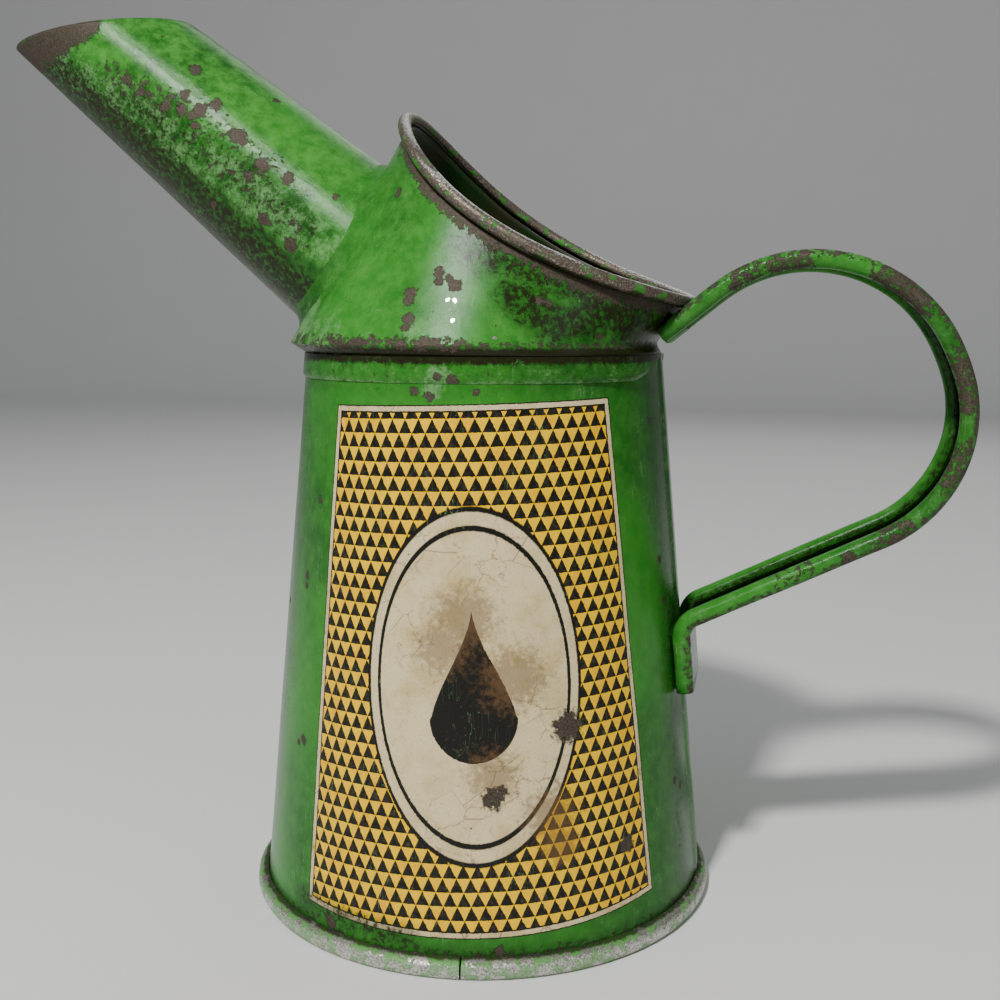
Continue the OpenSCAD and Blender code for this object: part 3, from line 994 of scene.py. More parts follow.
@dataclass
class FootRing:
    """Half round ring round the body's foot, with its butt joint."""

    joint: float = 0.3
    joint_at: float = 278.0
    columns: int = 300
    round_steps: int = 16

    def section(self, v: float) -> tuple[float, float]:
        """Return radius and height of the ring's outer face from its share up."""
        middle_x = FORM.base_r + FORM.foot_out - FORM.foot_bead_r
        middle_z = FORM.ring_top - FORM.foot_bead_r
        low = -math.asin(middle_z / FORM.foot_bead_r)
        turn = low + (math.pi / 2 + 0.04 - low) * v
        return middle_x + FORM.foot_bead_r * math.cos(turn), middle_z + FORM.foot_bead_r * math.sin(turn)

    def skin(self, u: float, v: float) -> Vector:
        """Return a point of the closed section from its share round the jug and the section."""
        start = math.radians(self.joint_at)
        gap = self.joint / FORM.base_r
        turn = start + gap / 2 + u * (2.0 * math.pi - gap)
        steps = self.round_steps
        step = round(v * (steps + 2)) % (steps + 2)
        radius, z = self.section(step / steps) if step <= steps else (FORM.radius(0.0), 0.0)
        return Vector((radius * math.cos(turn), radius * math.sin(turn), max(z, 0.0)))

    def build(self) -> list[Piece]:
        """Return the ring with its two ends closed."""
        bm = grown(self.skin, self.columns, self.round_steps + 2)
        ends = [edge for edge in bm.edges if edge.is_boundary]
        bmesh.ops.holes_fill(bm, edges=ends, sides=0)
        bmesh.ops.recalc_face_normals(bm, faces=bm.faces)
        dent(bm, 4.0, 0.10, 8.3)
        dent(bm, 1.3, 0.04, 2.9)
        piece = Piece(bm, "foot_bead", "worn_rim").stands_for("foot_ring")
        finish = BareSteel("worn_rim_metal", (0.15, 0.14, 0.11), (0.44, 0.43, 0.38), 0.62, 0.75,
                           (0.10, 0.30, 0.07))
        piece.dressed(finish.build())
        piece.worn({Layer.SCUFF_AND_HIGHLIGHT: self.scuff_and_highlight, Layer.LOSS: self.loss, Layer.GRIME_AND_SHADE: self.grime_and_shade})
        return [piece.creased(40.0)]

    def scuff_and_highlight(self, point: Vector) -> float:
        """Return how bright the ring is rubbed at a point."""
        out = math.hypot(point.x, point.y) - FORM.base_r
        return 0.75 * fade(out, 0.9, 1.9)

    def loss(self, point: Vector) -> float:
        """Return how much paint is gone at a point."""
        return 0.35 * fade(math.hypot(point.x, point.y) - FORM.base_r, 1.0, 2.1)

    def grime_and_shade(self, point: Vector) -> float:
        """Return how much darker the ring is at a point, towards its crease with the body."""
        return 0.9 * (1.0 - fade(math.hypot(point.x, point.y) - FORM.base_r, 0.2, 1.5))


@dataclass
class Collar:
    """Thin strip over the joint, lapped, with curved ends at the handle."""

    end: float = 20.0
    lap_step: float = 0.25
    lap_at: float = 48.0
    columns: int = 420
    rows: int = 6

    def lift(self, point: Vector) -> float:
        """Return how much of the strip's height is cut away below a place."""
        if point.x < 0 or abs(point.y) > self.end:
            return 0.0
        return (1.0 + math.cos(math.pi * point.y / self.end)) / 2.0

    def skin(self, u: float, v: float) -> Vector:
        """Return a point of the closed section from its share round the jug and the section."""
        turn = 2.0 * math.pi * u
        steps = self.rows + 2
        step = round(v * steps) % steps
        low = FORM.collar_low
        share = min(step, self.rows) / self.rows
        thick = FORM.tin
        if abs((turn + math.pi) % (2.0 * math.pi) - math.pi) < math.radians(self.lap_at):
            thick += self.lap_step
        if step > self.rows:
            thick, share = 0.03, 1.0
        if step == 0:
            thick = 0.03
        start = Vector((math.cos(turn), math.sin(turn), 0.0)) * FORM.radius(low)
        lowest = low + (FORM.height - low) * 0.985 * self.lift(start)
        z = lowest + (FORM.height - lowest) * share
        radius = FORM.radius(z) + thick
        return Vector((radius * math.cos(turn), radius * math.sin(turn), z))

    def build(self) -> list[Piece]:
        """Return the strip."""
        bm = grown(self.skin, self.columns, self.rows + 2)
        bmesh.ops.recalc_face_normals(bm, faces=bm.faces)
        dent(bm, 6.0, 0.06, 4.4)
        chips = (Spot((3.0, -40.6, 118.4), 1.0), Spot((0.0, -40.7, 119.1), 0.7))
        piece = Piece(bm, "collar_band", "collar_paint").stands_for("collar_strip")
        piece.dressed(Enamel("collar_enamel", chips, (), (0.4, 0.4, 1.0), 0.5).build())
        piece.worn({Layer.SCUFF_AND_HIGHLIGHT: self.scuff_and_highlight, Layer.LOSS: self.loss, Layer.GRIME_AND_SHADE: self.grime_and_shade})
        return [piece.creased(50.0)]

    def scuff_and_highlight(self, point: Vector) -> float:
        """Return how scuffed the strip is at a point."""
        edge = 1.0 - fade(point.z, FORM.collar_low, FORM.collar_low + 1.0)
        return max(0.34, 0.6 * edge, Spot((0.0, -40.6, 118.6), 5.0, 0.7).pull(point))

    def loss(self, point: Vector) -> float:
        """Return how much paint is gone at a point."""
        edge = 1.0 - fade(point.z, FORM.collar_low, FORM.collar_low + 0.7)
        return max(0.15, 0.4 * edge)

    def grime_and_shade(self, point: Vector) -> float:
        """Return how dark the strip is made at a point: soiled all over, with painted shade and soiling at its top
        under the hood's edge.
        """
        # Painted shade, with soiling, under the hood's overhanging edge at the strip's top.
        return max(0.3, 0.95 * fade(point.z, FORM.height - 2.6, FORM.height - 0.6))


@dataclass(frozen=True)
class Mouth:
    """The open mouth's edge: an oval with raised ends, leaned and sloped about its centre."""

    length: float = 74.4
    width: float = 62.0
    tilt: float = 30.0
    spout_lift: float = 8.7
    handle_lift: float = 5.1
    lean: float = 2.2
    centre_x: float = 11.6
    rise: float = 25.3
    bead_r: float = 1.5

    @property
    def centre(self) -> Vector:
        """The middle of the mouth."""
        return Vector((self.centre_x, 0.0, FORM.height + self.rise))

    def edge(self, turn: float) -> Vector:
        """Return the point of the edge at a turn in radians, 0 at the handle."""
        share = math.cos(turn)
        lift = (self.spout_lift * (1.0 - share) + self.handle_lift * (1.0 + share)) / 2.0
        flat = Vector((self.length / 2 * share, self.width / 2 * math.sin(turn), lift * share ** 2))
        flat.rotate(Matrix.Rotation(math.radians(self.lean), 3, "X"))
        flat.rotate(Matrix.Rotation(math.radians(self.tilt), 3, "Y"))
        return self.centre + flat

    def foot(self, turn: float, radius: float) -> Vector:
        """Return the point of the hood's lower edge at a turn."""
        return Vector((radius * math.cos(turn) - HOOD_SHIFT, radius * math.sin(turn), FORM.height + HOOD_LIP))

    def axes(self, turn: float) -> tuple[Vector, Vector]:
        """Return the bead's outward and upward directions at a turn."""
        step = math.radians(1.0)
        along = (self.edge(turn + step) - self.edge(turn - step)).normalized()
        out = along.cross(self.edge(turn) - self.foot(turn, HOOD_R)).normalized()
        return out, out.cross(along)

    def bead(self, turn: float, radius: float, roll: float) -> Vector:
        """Return a point of the bead from its radius and its roll in degrees, 0 outward."""
        out, up = self.axes(turn)
        roll = math.radians(roll)
        return self.edge(turn) + radius * (math.cos(roll) * out + math.sin(roll) * up)


HOOD_R = 41.4
HOOD_SHIFT = 2.4
HOOD_LIP = 2.1
BEAD_IN = 190.0
BEAD_OUT = 228.0


@dataclass
class Hood:
    """Sheet from the round joint to the sloped mouth, open to the spout."""

    mouth: Mouth
    wall: float = 0.6
    columns: int = 300
    rows: int = 48
    lip_rows: int = 3
    round_rows: int = 5
    foot_round: float = 0.6

    def skin(self, u: float, v: float) -> Vector:
        """Return a point of the outer face from its share round and up."""
        turn = 2.0 * math.pi * u
        row = v * self.rows
        seat = (FORM.top_r + FORM.tin) * Vector((math.cos(turn), math.sin(turn), 0.0))
        seat.z = FORM.height
        foot = self.mouth.foot(turn, HOOD_R)
        top = self.mouth.bead(turn, self.mouth.bead_r, BEAD_OUT)
        below = foot + (seat - foot).normalized() * self.foot_round
        above = foot + (top - foot).normalized() * self.foot_round
        if row <= self.lip_rows:
            return seat.lerp(below, row / self.lip_rows)
        row -= self.lip_rows
        if row <= self.round_rows:
            share = row / self.round_rows
            return below.lerp(foot, share).lerp(foot.lerp(above, share), share)
        return above.lerp(top, (row - self.round_rows) / (self.rows - self.lip_rows - self.round_rows))

    def build(self) -> list[Piece]:
        """Return the hood with its opening to the spout."""
        bm = grown(self.skin, self.columns, self.rows)
        face_out(bm, axis_point)
        dent(bm, 22.0, 0.35, 1.7)
        dent(bm, 7.0, 0.06, 6.1)
        chips = (
            Spot((-13.0, -23.1, 156.9), 0.75), Spot((-13.0, -23.1, 155.8), 0.75),
            Spot((-6.8, -36.0, 135.6), 1.3), Spot((-7.0, -36.6, 133.9), 1.1),
            Spot((-6.5, -38.5, 130.6), 1.2), Spot((-6.7, -39.2, 129.0), 1.1),
            Spot((-1.2, -34.6, 139.6), 1.2), Spot((-1.0, -35.4, 137.6), 0.9),
            Spot((2.3, -35.4, 136.9), 1.3), Spot((1.0, -35.2, 138.4), 0.9),
            Spot((-7.4, -41.0, 125.2), 1.4), Spot((-3.3, -41.3, 125.3), 1.4),
            Spot((29.9, -26.1, 126.8), 0.7), Spot((30.9, -25.6, 127.3), 0.7),
            Spot((18.7, -32.4, 134.1), 0.9), Spot((20.5, -31.8, 133.4), 0.7),
            Spot((-15.0, 35.5, 132.0), 1.4), Spot((9.0, 37.0, 131.0), 1.1),
        )
        sparks = (
            Spot((2.6, -36.8, 134.0), 0.55), Spot((1.2, -36.8, 134.2), 0.45),
            Spot((2.5, -38.6, 130.1), 0.4), Spot((11.0, -38.4, 126.7), 0.4),
        )
        piece = Piece(bm, "hood_sheet", "hood_paint").stands_for("hood")
        piece.dressed(Enamel("hood_enamel", chips, sparks, (1.6, 1.6, 0.5), 0.65).build(), INSIDE)
        piece.worn({Layer.SCUFF_AND_HIGHLIGHT: self.scuff_and_highlight, Layer.LOSS: self.loss, Layer.GRIME_AND_SHADE: self.grime_and_shade})
        piece.walled(self.wall).settled()
        return [piece.bored(Spout(self.mouth).core())]

    def tree(self) -> BVHTree:
        """Return the outer face as a tree that rays can be cast on."""
        bm = grown(self.skin, self.columns, self.rows)
        tree = BVHTree.FromBMesh(bm)
        bm.free()
        return tree

    def near_bead(self, point: Vector) -> float:
        """Return how near a point lies to the mouth's edge, in millimetres along the wall."""
        turn = math.atan2(point.y, point.x + HOOD_SHIFT)
        best = min((self.mouth.edge(turn + math.radians(step)) - point).length
                   for step in range(-40, 41, 8))
        return best

    def scuff_and_highlight(self, point: Vector) -> float:
        """Return how pale the paint is at a point: scuffs, and painted highlight streaks."""
        marks = (
            # Painted highlight: pale streaks where the light is reflected on the near side.
            Trail(((2.4, -30.2, 149.0), (-1.1, -34.1, 139.9), (-3.4, -36.8, 134.0)), 4.0, 0.35),
            Trail(((-3.0, -36.6, 134.5), (-5.3, -39.6, 128.1), (-6.8, -40.6, 124.5)), 4.5, 0.5),
            Trail(((-9.0, -24.0, 152.0), (-13.0, -31.0, 140.0), (-15.0, -37.0, 127.0)), 5.0, 0.35),
            Spot((-35.8, -21.5, 127.9), 13.0, 0.75), Spot((-26.9, -33.0, 126.0), 11.0, 0.6),
            Trail(((-23.3, -13.8, 157.9), (-24.9, -19.3, 148.0)), 3.0, 0.9),
        )
        return max(0.2, strongest(marks, point))

    def loss(self, point: Vector) -> float:
        """Return how much paint is gone at a point."""
        rim = 1.0 - fade(self.near_bead(point), 2.6, 6.5)
        low = 1.0 - fade(abs(point.z - FORM.height - HOOD_LIP), 0.3, 1.8)
        corner = Trail(((-36.0, -22.0, 126.0), (-20.0, -37.5, 125.6), (5.0, -41.0, 125.4)), 3.0, 0.8)
        return max(0.14, 0.95 * rim, 0.6 * low, corner.pull(point))

    def grime_and_shade(self, point: Vector) -> float:
        """Return how dark the paint is made at a point: soiled mottling and painted shade on the right, painted
        shade under the lower edge and a painted shadow under the curled mouth edge.
        """
        # Dark mottled patches on the right: soiling, and painted shade on the side turned away from the light.
        marks = (
            Trail(((6.0, -32.0, 144.5), (16.0, -30.5, 140.5), (28.0, -26.5, 136.5)), 9.0, 0.6),
            Trail(((14.0, -34.0, 135.0), (22.0, -32.0, 129.0), (30.0, -27.0, 131.0)), 8.0, 0.64),
            Trail(((28.0, -26.0, 136.0), (36.0, -17.0, 129.0), (39.0, -8.0, 127.0)), 11.0, 0.7),
        )
        # Painted shade, with soiling, on the underside of the lower edge.
        joint = 1.0 - fade(point.z, FORM.height + 1.2, FORM.height + 2.3)
        # Painted shadow under the curled mouth edge.
        groove = 1.0 - fade(self.near_bead(point), 1.6, 3.0)
        return max(0.06, joint, 0.9 * groove, strongest(marks, point))


@dataclass
class MouthBead:
    """The hood's top edge, curled outward over its wire."""

    mouth: Mouth
    curl: float = BEAD_IN - BEAD_OUT + 345.0
    sheet: float = 0.45
    columns: int = 360
    round_steps: int = 22

    def skin(self, u: float, v: float) -> Vector:
        """Return a point of the curl's outer face from its share round the mouth and the curl."""
        return self.mouth.bead(2.0 * math.pi * u, self.mouth.bead_r, BEAD_IN - self.curl * v)

    def build(self) -> list[Piece]:
        """Return the curled edge."""
        bm = grown(self.skin, self.columns, self.round_steps)
        face_out(bm, self.middle)
        dent(bm, 9.0, 0.12, 2.2)
        dent(bm, 1.5, 0.04, 7.9)
        piece = Piece(bm, "mouth_curl", "bare_steel").stands_for("mouth_bead")
        piece.dressed(BareSteel("mouth_steel", (0.085, 0.062, 0.048), (0.20, 0.160, 0.130), 0.5).build())
        piece.worn({Layer.SCUFF_AND_HIGHLIGHT: self.scuff_and_highlight, Layer.LOSS: self.loss, Layer.GRIME_AND_SHADE: self.grime_and_shade})
        return [piece.walled(self.sheet)]

    def middle(self, point: Vector) -> Vector:
        """Return the point of the curl's middle line next to a point."""
        turn = math.atan2(point.y, point.x - self.mouth.centre_x)
        turns = [turn + math.radians(step) for step in range(-30, 31, 3)]
        return min((self.mouth.edge(t) for t in turns), key=lambda edge: (edge - point).length)

    def up(self, point: Vector) -> float:
        """Return how far a point lies above the curl's middle line."""
        return point.z - self.middle(point).z

    def scuff_and_highlight(self, point: Vector) -> float:
        """Return how bright the steel is rubbed at a point."""
        return max(0.25, 0.75 * fade(self.up(point), 0.5, 1.4))

    def loss(self, point: Vector) -> float:
        """Return how much paint is gone at a point."""
        return fade(self.up(point), 0.2, 1.2)

    def grime_and_shade(self, point: Vector) -> float:
        """Return how much darker the steel is at a point, on the curl's underside."""
        return 0.9 * (1.0 - fade(self.up(point), -1.4, -0.4))


@dataclass
class Spout:
    """Tapered tube, cut nearly level at the lip and shaped to the hood at its root."""

    mouth: Mouth
    angle: float = 38.7
    root_x: float = 35.0
    root_rise: float = 26.1
    root_r: float = 19.6
    tip_r: float = 15.6
    length: float = 73.0
    wall: float = 0.6
    lip_tilt: float = 7.0
    fillet_sink: float = 0.35
    columns: int = 240
    rows: int = 84

    @property
    def root(self) -> Vector:
        """The point of the spout's axis at its root."""
        return Vector((-self.root_x, 0.0, FORM.height + self.root_rise))

    @property
    def axis(self) -> Vector:
        """The direction of the spout's axis, from root to lip."""
        turn = math.radians(self.angle)
        return Vector((-math.cos(turn), 0.0, math.sin(turn)))

    def radial(self, turn: float) -> Vector:
        """Return the direction away from the axis at a turn, 0 at the side seen in front."""
        near = Vector((0.0, -1.0, 0.0))
        return math.cos(turn) * near + math.sin(turn) * self.axis.cross(near)

    def at(self, length: float, turn: float, inward: float = 0.0) -> Vector:
        """Return a point of the wall from its distance along the axis and its turn."""
        radius = self.root_r - inward - (self.root_r - self.tip_r) / self.length * length
        return self.root + self.axis * length + self.radial(turn) * radius

    def lip(self, turn: float) -> float:
        """Return the distance along the axis at which the lip cuts the wall."""
        tilt = math.radians(self.lip_tilt)
        level = Vector((-math.sin(tilt), 0.0, math.cos(tilt)))
        side = self.radial(turn).dot(level)
        taper = (self.root_r - self.tip_r) / self.length
        return (self.length * self.axis.dot(level) - self.root_r * side) / (self.axis.dot(level) - taper * side)

    def foot(self, turn: float, tree: BVHTree) -> Vector:
        """Return the point where the wall meets the hood at a turn."""
        start = self.at(self.lip(turn), turn)
        toward = (self.at(0.0, turn) - start).normalized()
        hit = tree.ray_cast(start * MM, toward)[0]
        return hit / MM if hit else self.at(0.0, turn)

    def core(self) -> bmesh.types.BMesh:
        """Return the closed cone that opens the hood to the spout."""
        start, end = -18.0, 60.0
        bm = bmesh.new()
        radii = [(self.root_r - self.wall - (self.root_r - self.tip_r) / self.length * s) * MM for s in (start, end)]
        bmesh.ops.create_cone(bm, cap_ends=True, segments=96, radius1=radii[0], radius2=radii[1],
                              depth=(end - start) * MM)
        tilt = Vector((0.0, 0.0, 1.0)).rotation_difference(self.axis).to_matrix().to_4x4()
        middle = (self.root + self.axis * (start + end) / 2) * MM
        bmesh.ops.transform(bm, matrix=Matrix.Translation(middle) @ tilt, verts=bm.verts)
        return bm

    def build(self) -> list[Piece]:
        """Return the spout's tube."""
        tree = Hood(self.mouth).tree()
        turns = [2.0 * math.pi * i / self.columns for i in range(self.columns + 1)]
        feet = [self.foot(turn, tree) for turn in turns]
        lips = [self.at(self.lip(turn), turn) for turn in turns]

        def skin(u: float, v: float) -> Vector:
            """Return a point of the tube from its share round and up."""
            column = round(u * self.columns) % self.columns
            return feet[column].lerp(lips[column], v)

        bm = grown(skin, self.columns, self.rows)
        face_out(bm, self.middle)
        dent(bm, 18.0, 0.30, 9.4)
        dent(bm, 6.0, 0.06, 3.3)
        chips = (
            Spot((-62.2, -13.5, 184.6), 1.35), Spot((-50.4, -17.0, 169.7), 1.5),
            Spot((-49.6, -17.2, 168.2), 1.1), Spot((-57.9, -15.7, 155.2), 1.0),
            Spot((-57.2, -16.0, 153.6), 0.9), Spot((-55.0, -17.3, 165.2), 0.8),
            Spot((-64.0, -16.8, 175.2), 1.3), Spot((-61.5, -17.2, 174.0), 1.1),
            Spot((-73.6, -16.6, 179.6), 1.0), Spot((-77.0, -16.3, 182.5), 1.1),
            Spot((-45.5, -7.9, 178.4), 0.8), Spot((-45.1, -18.1, 163.1), 1.6),
            Spot((-39.2, -18.0, 160.3), 1.3), Spot((-44.9, -18.6, 151.5), 1.5),
            Spot((-38.7, -19.0, 146.1), 1.5), Spot((-63.3, -16.5, 178.6), 1.2),
            Spot((-59.7, -16.9, 175.2), 1.5), Spot((-56.6, -15.9, 176.4), 1.4),
            Spot((-51.5, -17.2, 169.7), 1.5), Spot((-67.8, -17.2, 176.5), 1.2),
            Spot((-29.0, -16.5, 156.0), 0.9), Spot((-71.0, -11.0, 192.0), 0.8),
            Spot((-60.6, -17.6, 172.0), 1.0), Spot((-48.0, -17.9, 161.0), 1.2),
            Spot((-58.0, 16.5, 172.0), 1.3), Spot((-76.0, 15.0, 188.0), 1.0),
        )
        piece = Piece(bm, "spout_tube", "spout_paint").stands_for("spout")
        piece.dressed(Enamel("spout_enamel", chips, (), (0.7, 1.4, 0.7), 1.0).build(), INSIDE)
        piece.worn({Layer.SCUFF_AND_HIGHLIGHT: self.scuff_and_highlight, Layer.LOSS: self.loss, Layer.GRIME_AND_SHADE: self.grime_and_shade})
        piece.walled(self.wall)
        return [piece, self.fillet(feet, turns, tree)]

    def middle(self, point: Vector) -> Vector:
        """Return the point of the axis next to a point."""
        return self.root + self.axis * (point - self.root).dot(self.axis)

    def fillet(self, feet: list[Vector], turns: list[float], tree: BVHTree) -> Piece:
        """Return the solder run in the corner between spout and hood.

        Args:
            feet: points where the wall meets the hood.
            turns: their turns about the spout's axis.
            tree: the hood's outer face.

        Returns:
            The solder run.
        """
        steps = 8
        sections = []
        for foot, turn in zip(feet, turns):
            ragged = noise.noise(Vector((math.cos(turn), math.sin(turn), 0.4)) * 2.2)
            width = SOLDER_W * (1.0 + 0.25 * ragged)
            on_tube = foot + (self.at(60.0, turn) - self.at(0.0, turn)).normalized() * width
            on_tube -= self.radial(turn) * self.fillet_sink
            place, normal = tree.find_nearest((foot + self.radial(turn) * width) * MM)[:2]
            on_hood = place / MM - normal * math.copysign(self.fillet_sink, normal.dot(self.axis))
            corner = foot.lerp((on_tube + on_hood) / 2, 0.25)
            loop = [on_tube.lerp(corner, i / steps).lerp(corner.lerp(on_hood, i / steps), i / steps)
                    for i in range(steps + 1)]
            sink = (self.middle(foot) - foot).normalized() * 0.3
            loop.append(foot + sink)
            sections.append(loop)

        def skin(u: float, v: float) -> Vector:
            """Return a point of the run from its share round the spout and the section."""
            loop = sections[round(u * self.columns) % self.columns]
            return loop[round(v * len(loop)) % len(loop)]

        bm = grown(skin, self.columns, steps + 2)
        bmesh.ops.recalc_face_normals(bm, faces=bm.faces)
        piece = Piece(bm, "spout_fillet", "solder").stands_for("spout_solder")
        piece.dressed(Enamel("fillet_enamel", (), (), (1.0, 1.0, 1.0), 0.6).build())
        # The run is darker towards its bottom.
        piece.worn({Layer.SCUFF_AND_HIGHLIGHT: lambda point: 0.3, Layer.LOSS: lambda point: 0.12,
                    Layer.GRIME_AND_SHADE: lambda point: 0.12 + 0.4 * (1.0 - fade(point.z, 128.0, 142.0))})
        return piece

    def scuff_and_highlight(self, point: Vector) -> float:
        """Return how pale the paint is at a point: scuffs, and a painted highlight line."""
        marks = (
            Trail(((-95.0, -14.0, 188.0), (-71.6, -16.8, 173.0), (-50.0, -17.8, 159.0),
                   (-30.0, -19.7, 146.0)), 11.0, 0.55),
            # Painted highlight: a narrow pale line where the light is reflected along the spout.
            Trail(((-90.0, -13.0, 199.0), (-72.0, -15.2, 187.6), (-48.2, -17.0, 168.6),
                   (-27.0, -17.8, 154.5)), 1.6, 0.6),
            # Paler band along the spout's top.
            Trail(((-60.0, 0.0, 190.0), (-25.0, 0.0, 163.0)), 9.0, 0.3),
        )
        return max(0.2, strongest(marks, point))

    def loss(self, point: Vector) -> float:
        """Return how much paint is gone at a point."""
        marks = (
            Trail(((-113.0, -1.0, 190.5), (-104.0, -9.0, 190.5), (-94.0, -14.3, 192.5),
                   (-88.0, -15.3, 195.5)), 7.5, 1.2),
            Trail(((-90.0, -15.0, 196.0), (-78.0, -12.0, 198.0)), 2.0, 0.6),
            Trail(((-82.0, -15.5, 184.0), (-58.0, -17.0, 173.0), (-44.0, -17.6, 163.0)), 7.0, 0.5),
            Trail(((-60.0, -17.5, 168.0), (-36.0, -19.0, 147.0)), 7.0, 0.45),
        )
        return max(0.15, strongest(marks, point))

    def grime_and_shade(self, point: Vector) -> float:
        """Return how dark the paint is made at a point: soiling low on the near side, and painted shade on the
        underside.
        """
        # Painted shade: the spout's underside is darkened.
        under = (point - self.middle(point)).normalized().dot(self.axis.cross(Vector((0.0, 1.0, 0.0))))
        marks = (
            Trail(((-80.0, -15.5, 180.0), (-55.0, -17.5, 164.0), (-36.0, -19.0, 150.0)), 8.0, 0.5),
            Trail(((-60.0, -15.0, 158.0), (-38.0, -17.0, 140.0)), 7.0, 0.5),
        )
        return max(0.06, 0.7 * fade(under, 0.0, 0.55), strongest(marks, point))


SOLDER_W = 3.0


@dataclass(frozen=True)
class Pose:
    """A place on the handle's path, seen from the side.

    Attributes:
        x: distance from the jug's axis.
        z: height above the table.
        heading: direction of the path in degrees above +X.
    """

    x: float
    z: float
    heading: float

    def ahead(self, length: float) -> "Pose":
        """Return the pose further along a straight line."""
        turn = math.radians(self.heading)
        return Pose(self.x + length * math.cos(turn), self.z + length * math.sin(turn), self.heading)

    def bent(self, radius: float, angle: float) -> "Pose":
        """Return the pose after a bend, clockwise where the angle is above 0."""
        side = math.copysign(1.0, angle)
        before = math.radians(self.heading)
        after = math.radians(self.heading - angle)
        return Pose(self.x + side * radius * (math.sin(before) - math.sin(after)),
                    self.z - side * radius * (math.cos(before) - math.cos(after)), self.heading - angle)

    def point(self, out: float, across: float) -> Vector:
        """Return the point at a distance out of the loop and across the strip."""
        turn = math.radians(self.heading)
        return Vector((self.x - out * math.sin(turn), across, self.z + out * math.cos(turn)))


